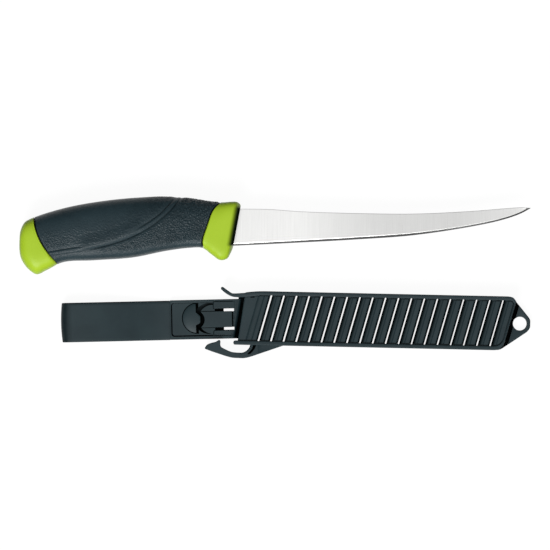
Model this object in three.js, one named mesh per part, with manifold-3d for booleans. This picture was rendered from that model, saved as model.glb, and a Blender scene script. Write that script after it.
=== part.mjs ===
// Fillet knife and its ventilated sheath, laid side by side on a flat surface.
// Millimetres, +Z up. +X runs from the pommel to the blade's tip, +Y from the edge to the spine.
// The origin is on the surface, under the middle of the pair.
import * as THREE from 'three';
import { mergeVertices } from 'three/addons/utils/BufferGeometryUtils.js';
import Module from 'manifold-3d';

const wasm = await Module();
wasm.setup();

// Clearances
const SEAM_GAP = 0.3;          // between the rubber grip and the hard core
const TANG_GAP = 0.3;          // round the tang and the blade's heel
const LATCH_GAP = 0.3;         // round the strap's tail, its stud and the tongue
const FLEX_GAP = 0.3;          // across the root of each flexing arm

// Blade
const BLADE_LENGTH = 155;      // guard to tip
const SPINE_THICK = 2;         // at the heel
const TIP_THICK = 0.9;
const SHOULDER_THICK = 0.55;   // where the flat taper meets the edge bevel
const BEVEL_HEIGHT = 1.1;
const HEEL_DEPTH = 2.2;        // how far the full blade sits in the guard
const TANG_LENGTH = 78;
const TANG_HEIGHT = 11;
const TANG_THICK = 1.7;
const TANG_LEVEL = 1.5;        // middle of the tang above the blade's axis
const TANG_CORNER = 0.8;

// Blade outline: share of the length, then spine and edge heights
const BLADE_OUTLINE = [
  [0.00, 9.3, -10.1],
  [0.10, 9.1, -9.4],
  [0.20, 8.0, -8.6],
  [0.40, 7.0, -6.9],
  [0.60, 6.75, -4.6],
  [0.80, 8.2, 0.1],
  [0.90, 9.45, 3.45],
  [0.96, 10.05, 6.5],
  [1.00, 9.65, 9.4],
];

// Handle
const HANDLE_LENGTH = 114.8;   // guard face to pommel end
const HANDLE_THICK = 23.2;     // at the belly
const GRIP_WALL = 2.6;         // rubber over the core
const POMMEL_CAP = 7.6;        // hard end that shows along the top
const GUARD_DEPTH = 15.6;      // hard front that shows at mid height

// Handle sections from the pommel to the guard's face: the top and bottom points, each as a
// share of the handle's length behind the guard and a height, then a share of the thickness
// and the squareness, where 2 is an ellipse
const HANDLE_SECTIONS = [
  [1.000, -7.4, 1.000, -12.6, 0.28, 2.4],
  [0.995, -2.1, 0.994, -16.4, 0.60, 2.6],
  [0.976, 2.2, 0.972, -20.8, 0.81, 2.9],
  [0.945, 4.3, 0.945, -23.8, 0.91, 3.1],
  [0.905, 6.1, 0.920, -25.2, 0.95, 3.0],
  [0.850, 8.1, 0.876, -23.0, 0.97, 2.6],
  [0.750, 11.0, 0.800, -18.9, 0.98, 2.35],
  [0.600, 13.8, 0.660, -17.9, 1.00, 2.3],
  [0.450, 15.4, 0.480, -16.4, 0.97, 2.3],
  [0.320, 15.7, 0.330, -13.0, 0.88, 2.35],
  [0.220, 14.8, 0.220, -11.35, 0.80, 2.5],
  [0.130, 13.2, 0.160, -11.45, 0.80, 2.9],
  [0.075, 12.7, 0.118, -14.9, 0.85, 3.2],
  [0.035, 13.0, 0.080, -17.7, 0.87, 3.3],
  [0.005, 13.0, 0.045, -16.9, 0.82, 3.3],
  [-0.012, 12.0, 0.024, -13.6, 0.58, 3.2],
  [-0.017, 10.8, 0.014, -11.2, 0.15, 3.0],
];

// Side view of the seams, as ways along the knife and heights: the curve before the pommel by
// its start, control and end, and the points of the curve behind the guard
const POMMEL_SEAM = [[0, 5], [0, -6.6], [11.9, -19.8]];
const GUARD_SEAM = [[-2.5, -10.8], [-2.6, -7.6], [0, 0.7], [2.7, 8.2], [6.1, 12.1], [10, 15]];

// Sheath body
const POCKET_LENGTH = 140.7;   // mouth to end wall, along the middle
const BODY_WIDTH = 28.5;
const RAIL_WIDTH = 2.15;
const RAIL_RISE = 0.7;         // rails stand proud of the slats
const BACK_WALL = 2.2;
const CAVITY_DEPTH = 6.4;
const FRONT_WALL = 2;
const END_WALL = 1.8;
const BODY_EASE = 0.4;         // rounding of the body's long edges
const MOUTH_OFFSET = 2.8;      // mouth from the point where body and neck meet
const MOUTH_RAKE = 7.8;        // degrees
const MOUTH_DIP = 0.85;        // how far the upper rail bends in at the mouth
const DIP_LENGTH = 14;
const APRON_EDGE = 0.7;        // back wall's edge beside the neck, from the meeting point
const SLIT_COUNT = 19;
const SLIT_WIDTH = 0.8;        // clear way through
const SLIT_RAKE = 14.9;        // degrees
const FIRST_SLIT = 12.1;       // mouth to the first slit
const LAST_SLIT = 6.6;         // last slit to the end wall
const SLIT_CROWDING = 0.0275;  // slits lie a little closer together near the mouth
const FLANGE_THICK = 3.4;
const FLANGE_CORNER = 2;       // rounding where the flange meets the long edges
const UPPER_FLANK = 39.8;      // degrees, ways the flange's two flanks face
const LOWER_FLANK = -55;
const END_CORNER = 4;          // where the end's rounding starts, before the flange
const END_BEND = 0.45;         // share of the half width at which the rounding ends
const FOOT_GROOVE = 1.5;       // groove along the end wall's foot, in the flange
const EYE_DIAMETER = 7.4;
const EYE_RIM = 1.9;
const EYE_OFFSET = 5.6;        // end wall to the eye's centre
const RAIL_REACH = 1.95;       // how far the lower rail runs out before the mouth

// Front face beside a slit: ways from the slit's side and heights, after it and before the next
const SLAT_RISE = [[0.05, -1.7], [0.45, -1.05], [1.35, -0.45], [2.3, -0.35], [2.85, 0]];
const SLAT_FALL = [[1.1, 0], [0.75, -0.45], [0.05, -1.7]];

// Shallow blind groove across the land between the mouth and the first slit
const LAND_GROOVE = [[-0.4, 0], [-0.1, -0.3], [2.7, -0.36], [3.1, 0]];

// Lip before the mouth: ways from the meeting point and heights over the body's upper edge
const LIP_UPPER = [[12, -0.2], [7, -0.75], [1.8, -1.3], [-2.6, -1.45], [-5.4, 0.25], [-7.5, 1.75]];
const LIP_LOWER = [[-8.4, 0.45], [-6, -1.55], [-2.8, -3.15], [0.5, -3.5], [7, -3.05], [12, -2.35]];

// Snap hook under the mouth
const HOOK_THICK = 6;          // across the sheath's thickness
const HOOK_REACH = 20;         // arm length from its flexing root to the nose
const HOOK_DROP = 7.1;         // arm's underside below the body
const ARM_HEIGHT = 2.9;
const ROOT_OFFSET = 3.6;       // flexing root from the meeting point
const RING_LENGTH = 8.4;       // ring behind the flexing root
const WEB_LENGTH = 21;         // root web along the lower rail
const WEB_INSET = 0.9;         // web's faces below the arm's faces
const GROOVE_FLOOR = 0.8;      // left under the groove between ring and web

// Hook outline: ways from its nose, and heights over the arm's upper or under side
const HOOK_OVER = [[16.9, 0], [13.9, 0.35], [10.9, 1.55], [8.8, 2.55]];
const HOOK_BARB = [[8.25, 3.25], [8.05, 4.2], [8.05, 6], [7.3, 6.45], [5.6, 5.45], [3.4, 4.85], [1, 3.75]];
const HOOK_UNDER = [[0, 4.6], [3.5, 3.3], [7.5, 2.05], [11.1, 0.95], [14.8, 0.15]];

// Hook's ring: ways from the flexing root, and heights under the body's lower edge
const RING_UNDER = [[4.2, 0.9], [8.4, 2.4]];
const RING_THROAT = [[3.8, 0], [3.3, -1.5], [1.8, -3.3]];
const GROOVE_LEFT = [[5.4, -0.05], [4.7, -2.05], [2.5, -4.5]];
const GROOVE_RIGHT = [[2.9, -4.9], [4, -4.6], [6.2, -2.05], [7, -0.05]];

// Neck and latch
const STRAP_TURN = 2.49;       // degrees between the strap and the body
const STRAP_DROP = 0.6;        // strap's axis below the body's axis
const STRAP_WIDTH = 20.4;
const NECK_LENGTH = 35.1;
const NECK_WALL = 1.1;
const NECK_FLOOR = 0.9;
const NECK_PLATE = 0.9;
const NECK_RIM = 0.4;          // rim's height over the sunk panel
const RIM_WIDTH = 1.3;
const TONGUE_LENGTH = 16.9;
const TONGUE_WIDTH = 8.4;
const TONGUE_ROOT = 1.8;       // tongue's flexing root before the meeting point
const TONGUE_DROP = 0.1;       // tongue's axis below the strap's axis
const TONGUE_BITE = 2.1;       // depth of the hollow in its tip
const SLOT_WIDTH = 1.4;
const SLOT_LENGTH = 10;
const SLOT_START = 1.05;       // slots' ends before the meeting point
const STEP_RISE = 0.2;         // blocks beside the slots over the rim
const PANEL_CORNER = 1.4;
const STUD_RADIUS = 7.8;
const STUD_RISE = 2.3;         // above the strap's tail
const STUD_SHOULDER = 1.25;    // height of its upright side
const TAB_RISE = 1.95;         // tab's height over the strap's tail
const STUD_PLACE = 21.35;      // stud's straight side before the meeting point
const STUD_SHIFT = 0.7;        // stud's centre ahead of its straight side
const STUD_LEVEL = 0.7;        // stud's centre above the strap's axis
const STUD_PLAY = 0.9;         // window's straight side from the stud's
const ISLAND_RADIUS = 7.5;     // round island that the tongue is cut from
const ISLAND_PLACE = 12.6;
const WELL_RADIUS = 8.15;      // round well about the island
const WELL_PLACE = 14.4;
const WELL_LEVEL = 0.3;

// Stud's tab: ways from the straight side, and heights over the strap's axis
const STUD_TAB = [
  [-1.5, 3.8], [0.1, 3.65], [1.9, 2.2], [2.35, 1.6], [2.35, -1.4], [1.9, -2], [0.1, -2.9], [-1.5, -3],
];

// Ramp from the neck's panel into the pocket: ways from the meeting point, and depths
const MOUTH_RAMP = [[-0.5, 0.05], [0.1, 0.3], [0.7, 0.8], [1.4, 1.2]];

// Belt clip
const CLIP_THICK = 1;
const CLIP_LENGTH = 92.7;      // meeting point to the fold
const CLIP_HEIGHT = 8.2;       // at the fold
const TAIL_END = 6.5;          // tail's end before the meeting point
const LEAF_GAP = 2.2;          // back leaf's free end to the neck
const RISE_START = 14;         // length of the gentle start of the front leaf's rise
const RISE_END = 26;           // length of its gentle end before the fold

// Layout on the surface
const SHEATH_TILT = -1.23;     // degrees
const SHEATH_SHIFT = -0.5;     // along the knife
const SHEATH_DROP = 48;        // below the knife's axis

// Fineness of the curves
const RING_POINTS = 24;
const STEPS_PER_SECTION = 2;
const CURVE_STEPS = 6;
const FAR = 60;                // reach of a cutter past what it cuts
const OVERLAP = 0.5;           // how far joined solids reach into each other
const SNAP = 1e4;              // points lie on a grid this fine, so that flush faces are exactly flush

const radians = THREE.MathUtils.degToRad;
const bodyHalf = BODY_WIDTH / 2;
const pocketHalf = bodyHalf - RAIL_WIDTH;
const frontFace = BACK_WALL + CAVITY_DEPTH + FRONT_WALL;
const railFace = frontFace + RAIL_RISE;
const mouthAt = (v) => MOUTH_OFFSET + v * Math.tan(radians(MOUTH_RAKE));
const pocketEndAt = (v) => MOUTH_OFFSET + POCKET_LENGTH + v * Math.tan(radians(SLIT_RAKE));
const tailBottom = NECK_FLOOR + LATCH_GAP;
const tailTop = tailBottom + CLIP_THICK;
const plateBottom = tailTop + LATCH_GAP;
const panelFace = plateBottom + NECK_PLATE;
const rimFace = panelFace + NECK_RIM;

function solidOf(geometry) {
  const bare = geometry.clone();
  bare.deleteAttribute('normal');
  bare.deleteAttribute('uv');
  const merged = mergeVertices(bare, 1e-4);
  const snapped = merged.attributes.position.array.map((value) => Math.round(value * SNAP) / SNAP);
  return new wasm.Manifold(new wasm.Mesh({
    numProp: 3,
    vertProperties: new Float32Array(snapped),
    triVerts: new Uint32Array(merged.index.array),
  }));
}

function meshOf(name, solid, colour, roughness, metalness) {
  const { vertProperties, triVerts } = solid.getMesh();
  const geometry = new THREE.BufferGeometry();
  geometry.setAttribute('position', new THREE.BufferAttribute(vertProperties, 3));
  geometry.setIndex(new THREE.BufferAttribute(triVerts, 1));
  geometry.computeVertexNormals();
  const material = new THREE.MeshStandardMaterial({ color: colour, roughness, metalness });
  const mesh = new THREE.Mesh(geometry, material);
  mesh.name = name;
  return mesh;
}

// A flat shape raised from one height to another, with its edges eased where ease is given
function raise(shape, low, high, ease = 0) {
  const geometry = new THREE.ExtrudeGeometry(shape, {
    depth: high - low - 2 * ease,
    bevelEnabled: ease > 0,
    bevelThickness: ease,
    bevelSize: ease,
    bevelOffset: -ease,
    bevelSegments: 2,
    curveSegments: CURVE_STEPS,
  });
  geometry.translate(0, 0, low + ease);
  return solidOf(geometry);
}

function polygon(points) {
  return new THREE.Shape(points.map(([x, y]) => new THREE.Vector2(x, y)));
}

function box(xRange, yRange, zRange) {
  const size = [xRange, yRange, zRange].map(([low, high]) => high - low);
  const middle = [xRange, yRange, zRange].map(([low, high]) => (low + high) / 2);
  return solidOf(new THREE.BoxGeometry(...size).translate(...middle));
}

// The stretch between two distances on one side of an axis, low end first
function sideSpan(side, near, far, axis) {
  return [axis + side * near, axis + side * far].sort((a, b) => a - b);
}

function roundedRectangle([left, right], [bottom, top], radius) {
  const shape = new THREE.Shape();
  shape.moveTo(left + radius, bottom);
  shape.lineTo(right - radius, bottom);
  shape.absarc(right - radius, bottom + radius, radius, -Math.PI / 2, 0, false);
  shape.lineTo(right, top - radius);
  shape.absarc(right - radius, top - radius, radius, 0, Math.PI / 2, false);
  shape.lineTo(left + radius, top);
  shape.absarc(left + radius, top - radius, radius, Math.PI / 2, Math.PI, false);
  shape.lineTo(left, bottom + radius);
  shape.absarc(left + radius, bottom + radius, radius, Math.PI, Math.PI * 1.5, false);
  return shape;
}

function disc(x, y, radius) {
  const shape = new THREE.Shape();
  shape.absarc(x, y, radius, 0, Math.PI * 2, false);
  return shape;
}

// A closed skin through rings of equal point counts, capped at both ends
function loft(rings) {
  const count = rings[0].length;
  const points = rings.flat();
  const index = [];
  for (let ring = 0; ring + 1 < rings.length; ring++) {
    for (let k = 0; k < count; k++) {
      const a = ring * count + k;
      const b = ring * count + (k + 1) % count;
      index.push(a, b, b + count, a, b + count, a + count);
    }
  }
  for (const ring of [rings[0], rings[rings.length - 1]]) {
    const middle = ring.reduce((sum, p) => sum.add(p), new THREE.Vector3()).divideScalar(count);
    const centre = points.push(middle) - 1;
    const first = ring === rings[0];
    const start = first ? 0 : (rings.length - 1) * count;
    for (let k = 0; k < count; k++) {
      const a = start + k;
      const b = start + (k + 1) % count;
      index.push(centre, first ? b : a, first ? a : b);
    }
  }
  const geometry = new THREE.BufferGeometry().setFromPoints(points);
  geometry.setIndex(index);
  return solidOf(geometry);
}

// Blade, drawn with its axis along X and its middle plane at z = 0

const [faceTop, faceTopHeight, faceBottom, faceBottomHeight] = HANDLE_SECTIONS.at(-1);
const faceRake = HANDLE_LENGTH * (faceBottom - faceTop) / (faceTopHeight - faceBottomHeight);
const faceAt = (y) => faceRake * (y - faceBottomHeight) - faceBottom * HANDLE_LENGTH;
const [, heelTop, heelBottom] = BLADE_OUTLINE[0];

function bladeRings() {
  const heel = [-HEEL_DEPTH / BLADE_LENGTH, heelTop, heelBottom];
  const outline = [heel, ...BLADE_OUTLINE];
  const rail = (column) => new THREE.CatmullRomCurve3(outline.map((row) => {
    const along = row[0] * BLADE_LENGTH;
    const lean = faceAt(row[column]) * (1 - Math.max(row[0], 0));
    return new THREE.Vector3(along + lean, row[column], 0);
  }));
  const spine = rail(1);
  const edge = rail(2);
  const steps = (outline.length - 1) * STEPS_PER_SECTION;
  const rings = [];
  for (let step = 0; step <= steps; step++) {
    const share = step / steps;
    const s = spine.getPoint(share);
    const e = edge.getPoint(share);
    const run = Math.max(s.x, 0) / BLADE_LENGTH;
    const halfSpine = THREE.MathUtils.lerp(SPINE_THICK, TIP_THICK, run) / 2;
    const height = s.distanceTo(e);
    const rise = Math.min(BEVEL_HEIGHT, height * 0.4);
    const halfShoulder = Math.min(SHOULDER_THICK / 2, halfSpine * 0.8);
    const shoulder = e.clone().lerp(s, rise / height);
    rings.push([
      new THREE.Vector3(s.x, s.y, halfSpine),
      new THREE.Vector3(shoulder.x, shoulder.y, halfShoulder),
      e,
      new THREE.Vector3(shoulder.x, shoulder.y, -halfShoulder),
      new THREE.Vector3(s.x, s.y, -halfSpine),
    ]);
  }
  return rings;
}

function tang(gap) {
  const outline = roundedRectangle(
    [-TANG_LENGTH - gap, -HEEL_DEPTH + 1],
    [TANG_LEVEL - TANG_HEIGHT / 2 - gap, TANG_LEVEL + TANG_HEIGHT / 2 + gap],
    TANG_CORNER,
  );
  return raise(outline, -TANG_THICK / 2 - gap, TANG_THICK / 2 + gap);
}

function makeBlade() {
  return loft(bladeRings()).add(tang(0));
}

// Handle: one sculpted body, divided by two seams into the hard core and the rubber grip

const topRail = new THREE.CatmullRomCurve3(HANDLE_SECTIONS.map((row) => (
  new THREE.Vector3(-row[0] * HANDLE_LENGTH, row[1], row[4] * HANDLE_THICK / 2))));
const bottomRail = new THREE.CatmullRomCurve3(HANDLE_SECTIONS.map((row) => (
  new THREE.Vector3(-row[2] * HANDLE_LENGTH, row[3], 0))));
const squareness = new THREE.SplineCurve(HANDLE_SECTIONS.map((row, k) => new THREE.Vector2(k, row[5])));

function handleRing(share, inset) {
  const top = topRail.getPoint(share);
  const bottom = bottomRail.getPoint(share);
  const power = 2 / squareness.getPoint(share).y;
  const half = top.z - inset;
  top.z = 0;
  const reach = top.clone().sub(bottom).multiplyScalar(0.5);
  const middle = bottom.clone().add(reach);
  reach.setLength(reach.length() - inset);
  const ring = [];
  for (let k = 0; k < RING_POINTS; k++) {
    const angle = (k / RING_POINTS) * Math.PI * 2;
    const round = (value) => Math.sign(value) * Math.abs(value) ** power;
    const point = middle.clone().addScaledVector(reach, round(Math.cos(angle)));
    point.z = half * round(Math.sin(angle));
    ring.push(point);
  }
  return ring;
}

function handleBody(inset, first, last) {
  const rings = [];
  for (let step = first * STEPS_PER_SECTION; step <= last * STEPS_PER_SECTION; step++) {
    const share = step / STEPS_PER_SECTION / (HANDLE_SECTIONS.length - 1);
    rings.push(handleRing(share, inset));
  }
  return loft(rings);
}

// Side view of the stretch between the two seams
function gripZone(gap) {
  const back = -HANDLE_LENGTH + POMMEL_CAP + gap;
  const front = -GUARD_DEPTH - gap;
  const [start, control, end] = POMMEL_SEAM.map(([x, y]) => new THREE.Vector2(back + x, y));
  const beyond = end.clone().addScaledVector(end.clone().sub(control).normalize(), FAR);
  const guard = GUARD_SEAM.map(([x, y]) => new THREE.Vector2(front + x, y));
  const shape = new THREE.Shape();
  shape.moveTo(start.x, FAR);
  shape.lineTo(start.x, start.y);
  shape.quadraticCurveTo(control.x, control.y, end.x, end.y);
  shape.lineTo(beyond.x, beyond.y);
  shape.lineTo(guard[0].x, -FAR);
  shape.lineTo(guard[0].x, guard[0].y);
  shape.splineThru(guard.slice(1));
  shape.lineTo(guard.at(-1).x, FAR);
  return raise(shape, -FAR, FAR);
}

const lastSection = HANDLE_SECTIONS.length - 1;

function makeCore() {
  const ends = handleBody(0, 0, lastSection).subtract(gripZone(0));
  const inner = handleBody(GRIP_WALL + SEAM_GAP, 3, lastSection - 2);
  const heelSlot = raise(polygon([
    [faceAt(heelBottom) - HEEL_DEPTH - TANG_GAP, heelBottom - TANG_GAP],
    [FAR, heelBottom - TANG_GAP],
    [FAR, heelTop + TANG_GAP],
    [faceAt(heelTop) - HEEL_DEPTH - TANG_GAP, heelTop + TANG_GAP],
  ]), -SPINE_THICK / 2 - TANG_GAP, SPINE_THICK / 2 + TANG_GAP);
  return ends.add(inner).subtract(heelSlot).subtract(tang(TANG_GAP));
}

function makeGrip() {
  return handleBody(0, 0, lastSection)
    .intersect(gripZone(SEAM_GAP))
    .subtract(handleBody(GRIP_WALL, 2, lastSection - 1));
}

// Sheath body, drawn with its axis along X from the point where the neck meets it

const eye = new THREE.Vector2(MOUTH_OFFSET + POCKET_LENGTH + EYE_OFFSET, 0);
const noseRadius = EYE_DIAMETER / 2 + EYE_RIM;
const upperFlank = radians(UPPER_FLANK);
const lowerFlank = radians(LOWER_FLANK);

// Where a flank of the end flange, tangent to the nose, meets a long edge of the body
function flankMeets(edge, angle) {
  const touch = new THREE.Vector2(
    eye.x + noseRadius * Math.cos(angle),
    eye.y + noseRadius * Math.sin(angle),
  );
  const run = (edge - touch.y) / Math.cos(angle);
  return touch.x - run * Math.sin(angle);
}

// End flange, from inside the end wall to its round nose
function flangeOutline() {
  const edge = bodyHalf - BODY_EASE / 8;
  const start = flankMeets(-edge, lowerFlank) - 3 * FLANGE_CORNER;
  const upper = flankMeets(edge, upperFlank);
  const lower = flankMeets(-edge, lowerFlank);
  const along = (angle) => [FLANGE_CORNER * Math.sin(angle), FLANGE_CORNER * Math.cos(angle)];
  const [upperRun, upperFall] = along(upperFlank);
  const [lowerRun, lowerRise] = along(lowerFlank);
  const shape = new THREE.Shape();
  shape.moveTo(start, -edge);
  shape.lineTo(lower - FLANGE_CORNER, -edge);
  shape.quadraticCurveTo(lower, -edge, lower - lowerRun, -edge + lowerRise);
  shape.absarc(eye.x, eye.y, noseRadius, lowerFlank, upperFlank, false);
  shape.lineTo(upper + upperRun, edge - upperFall);
  shape.quadraticCurveTo(upper, edge, upper - FLANGE_CORNER, edge);
  shape.lineTo(start, edge);
  return shape;
}

// Body without its flange: the end leans with the slits, its corners are rounded, and the upper
// rail bends in towards the mouth
function endedOutline(start, half, wall) {
  const bend = half * END_BEND;
  const inset = bodyHalf - half;
  const endAt = (v) => pocketEndAt(v) + wall;
  const lowerStart = flankMeets(-bodyHalf, lowerFlank) - END_CORNER - inset;
  const upperStart = flankMeets(bodyHalf, upperFlank) - END_CORNER - inset;
  const shape = new THREE.Shape();
  shape.moveTo(start(-half), -half);
  shape.lineTo(lowerStart, -half);
  shape.quadraticCurveTo(endAt(-half), -half, endAt(-bend), -bend);
  shape.lineTo(endAt(bend), bend);
  shape.quadraticCurveTo(endAt(half) - END_CORNER / 3, half, upperStart, half);
  shape.lineTo(MOUTH_OFFSET + DIP_LENGTH, half);
  shape.quadraticCurveTo(MOUTH_OFFSET + DIP_LENGTH / 2, half, mouthAt(half), half - MOUTH_DIP);
  shape.lineTo(start(half), half - MOUTH_DIP);
  return shape;
}

const firstSlit = MOUTH_OFFSET + FIRST_SLIT;
const lastSlit = MOUTH_OFFSET + POCKET_LENGTH - LAST_SLIT;

function slitAt(number) {
  const share = number / (SLIT_COUNT - 1);
  return firstSlit + (lastSlit - firstSlit) * (share - SLIT_CROWDING * share * (1 - share));
}

// A cutter across the body that leans with the slits, from its section in ways and heights
function leaningCutter(section, place) {
  const cutter = new THREE.ExtrudeGeometry(polygon(section), { depth: 2 * bodyHalf, bevelEnabled: false });
  cutter.rotateX(Math.PI / 2);
  cutter.translate(0, bodyHalf, 0);
  const lean = Math.tan(radians(SLIT_RAKE));
  cutter.applyMatrix4(new THREE.Matrix4().makeShear(0, 0, lean, 0, 0, 0));
  cutter.translate(place, 0, 0);
  return solidOf(cutter);
}

const overFront = frontFace + RAIL_RISE / 3;

// Section of one slit with the sunk faces beside it
function slitSection() {
  const half = SLIT_WIDTH / 2;
  const rise = SLAT_RISE.map(([way, height]) => [half + way, frontFace + height]);
  const fall = SLAT_FALL.map(([way, height]) => [-half - way, frontFace + height]);
  return [
    [-half, -1], [half, -1], ...rise, [rise.at(-1)[0], overFront], [fall[0][0], overFront], ...fall,
  ];
}

function landSection() {
  const groove = LAND_GROOVE.map(([way, height]) => [way, frontFace + height]);
  return [...groove, [groove.at(-1)[0], overFront], [groove[0][0], overFront]];
}

function slitCutters() {
  let cutters = leaningCutter(landSection(), slitAt(-1));
  for (let slit = 0; slit < SLIT_COUNT; slit++) {
    cutters = cutters.add(leaningCutter(slitSection(), slitAt(slit)));
  }
  return cutters;
}

// Groove in the flange along the foot of the end wall
function footGroove() {
  const foot = pocketEndAt(0) + END_WALL;
  const low = FLANGE_THICK - FOOT_GROOVE;
  return leaningCutter([
    [-END_WALL / 2, low], [FOOT_GROOVE, low], [FOOT_GROOVE, railFace], [-END_WALL / 2, railFace],
  ], foot);
}

// End of the lower rail, which runs out a little before the mouth
function railEnd() {
  const start = mouthAt(-bodyHalf) - RAIL_REACH;
  const shape = roundedRectangle(
    [start, start + 4 * RAIL_REACH], [-bodyHalf, -pocketHalf], RAIL_WIDTH * 0.45);
  return raise(shape, 0, railFace, BODY_EASE);
}

// Back wall before the mouth, between the neck and the lip
function apron() {
  const reach = mouthAt(bodyHalf) + BACK_WALL;
  return raise(polygon([
    [APRON_EDGE, 0], [reach, 0], [reach, pocketHalf], [APRON_EDGE, pocketHalf - MOUTH_DIP],
  ]), 0, BACK_WALL);
}

// Thin flared lip that guides the spine into the mouth
function lip() {
  const [upper, lower] = [LIP_UPPER, LIP_LOWER].map((edge) => (
    edge.map(([x, y]) => new THREE.Vector2(x, bodyHalf + y))));
  const shape = new THREE.Shape();
  shape.moveTo(upper[0].x, upper[0].y);
  shape.splineThru(upper.slice(1));
  shape.lineTo(lower[0].x, lower[0].y);
  shape.splineThru(lower.slice(1));
  return raise(shape, BACK_WALL, railFace - BODY_EASE);
}

// Snap hook: its root and web belong to the body, its arm flexes

const hookMiddle = BACK_WALL + CAVITY_DEPTH / 2;
const hookLow = hookMiddle - HOOK_THICK / 2;
const hookHigh = hookMiddle + HOOK_THICK / 2;
const armUnder = -bodyHalf - HOOK_DROP;
const armOver = armUnder + ARM_HEIGHT;

// Points of a table moved to where its ways and heights start from
function placed(table, x, y) {
  return table.map(([way, height]) => new THREE.Vector2(x + way, y + height));
}

function hookGroove() {
  const left = placed(GROOVE_LEFT, ROOT_OFFSET, -bodyHalf);
  const right = placed(GROOVE_RIGHT, ROOT_OFFSET, -bodyHalf);
  const shape = new THREE.Shape();
  shape.moveTo(left[0].x, left[0].y);
  shape.splineThru(left.slice(1));
  shape.lineTo(right[0].x, right[0].y);
  shape.splineThru(right.slice(1));
  return raise(shape, hookLow + GROOVE_FLOOR, railFace);
}

function hookRoot() {
  const merge = -bodyHalf + OVERLAP;
  const right = ROOT_OFFSET + RING_LENGTH;
  const throat = placed(RING_THROAT, ROOT_OFFSET, -bodyHalf);
  const ring = new THREE.Shape();
  ring.moveTo(ROOT_OFFSET, armUnder);
  ring.splineThru(placed(RING_UNDER, ROOT_OFFSET, armUnder));
  ring.lineTo(right, merge);
  ring.lineTo(throat[0].x, merge);
  ring.lineTo(throat[0].x, throat[0].y);
  ring.splineThru([...throat.slice(1), new THREE.Vector2(ROOT_OFFSET, armOver)]);
  const web = polygon([
    [right - WEB_INSET, armUnder + RING_UNDER.at(-1)[1]],
    [ROOT_OFFSET + WEB_LENGTH, -bodyHalf],
    [ROOT_OFFSET + WEB_LENGTH, merge],
    [right - WEB_INSET, merge],
  ]);
  return raise(ring, hookLow, hookHigh)
    .add(raise(web, hookLow + WEB_INSET, hookHigh - WEB_INSET))
    .subtract(hookGroove());
}

function makeHook() {
  const root = ROOT_OFFSET - FLEX_GAP;
  const nose = ROOT_OFFSET - HOOK_REACH;
  const under = placed(HOOK_UNDER, nose, armUnder);
  const shape = new THREE.Shape();
  shape.moveTo(root, armOver);
  shape.splineThru(placed(HOOK_OVER, nose, armOver));
  shape.splineThru(placed(HOOK_BARB, nose, armOver));
  shape.lineTo(under[0].x, under[0].y);
  shape.splineThru([...under.slice(1), new THREE.Vector2(root, armUnder)]);
  return raise(shape, hookLow, hookHigh);
}

// Neck, drawn along the strap's axis from the meeting point

const strapHalf = STRAP_WIDTH / 2;
const tailHalf = strapHalf - NECK_WALL - LATCH_GAP;
const tongueBack = -TONGUE_ROOT - LATCH_GAP;
const tongueTip = tongueBack - TONGUE_LENGTH;
const slotFrom = -SLOT_START - SLOT_LENGTH;

function tongueOutline() {
  const half = TONGUE_WIDTH / 2;
  const shape = new THREE.Shape();
  shape.moveTo(tongueBack, -TONGUE_DROP - half);
  shape.lineTo(tongueBack, -TONGUE_DROP + half);
  shape.lineTo(tongueTip, -TONGUE_DROP + half);
  shape.quadraticCurveTo(tongueTip + 2 * TONGUE_BITE, -TONGUE_DROP, tongueTip, -TONGUE_DROP - half);
  return shape;
}

// Opening for the stud, and the well about the island that the tongue is cut from
function latchWindow() {
  const range = [plateBottom - 0.1, rimFace + 1];
  const studHole = raise(disc(STUD_SHIFT - STUD_PLACE, STUD_LEVEL, STUD_RADIUS + LATCH_GAP), ...range)
    .subtract(box([STUD_PLAY - STUD_PLACE, FAR], [-FAR, FAR], [-FAR, FAR]));
  const well = raise(disc(-WELL_PLACE, WELL_LEVEL, WELL_RADIUS), ...range);
  const island = raise(disc(-ISLAND_PLACE, WELL_LEVEL, ISLAND_RADIUS), -FAR, FAR);
  return studHole.add(well).subtract(island);
}

function neckCuts() {
  const slotNear = TONGUE_WIDTH / 2;
  const slotFar = slotNear + SLOT_WIDTH;
  const tongueHole = box(
    [-ISLAND_PLACE - ISLAND_RADIUS - LATCH_GAP, tongueBack + LATCH_GAP],
    [-TONGUE_DROP - TONGUE_WIDTH / 2 - LATCH_GAP, -TONGUE_DROP + TONGUE_WIDTH / 2 + LATCH_GAP],
    [plateBottom - 0.1, rimFace + 1],
  );
  const tailPocket = box(
    [-NECK_LENGTH - 1, -TAIL_END + 2],
    [-tailHalf - LATCH_GAP, tailHalf + LATCH_GAP],
    [NECK_FLOOR, plateBottom],
  );
  const backOpening = box(
    [slotFrom - SLOT_WIDTH, -SLOT_START], [-slotFar - OVERLAP, slotFar + OVERLAP], [-1, plateBottom]);
  const panel = raise(
    roundedRectangle(
      [-NECK_LENGTH + RIM_WIDTH, -SLOT_START],
      [-strapHalf + RIM_WIDTH, strapHalf - RIM_WIDTH],
      PANEL_CORNER,
    ), panelFace, rimFace + 1);
  let cuts = latchWindow().add(tongueHole).add(tailPocket).add(backOpening).add(panel);
  for (const side of [-1, 1]) {
    const span = sideSpan(side, slotNear - 0.1, slotFar, -TONGUE_DROP);
    cuts = cuts.add(box([slotFrom, -SLOT_START], span, [plateBottom - 0.1, rimFace + 1]));
  }
  return cuts;
}

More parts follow.
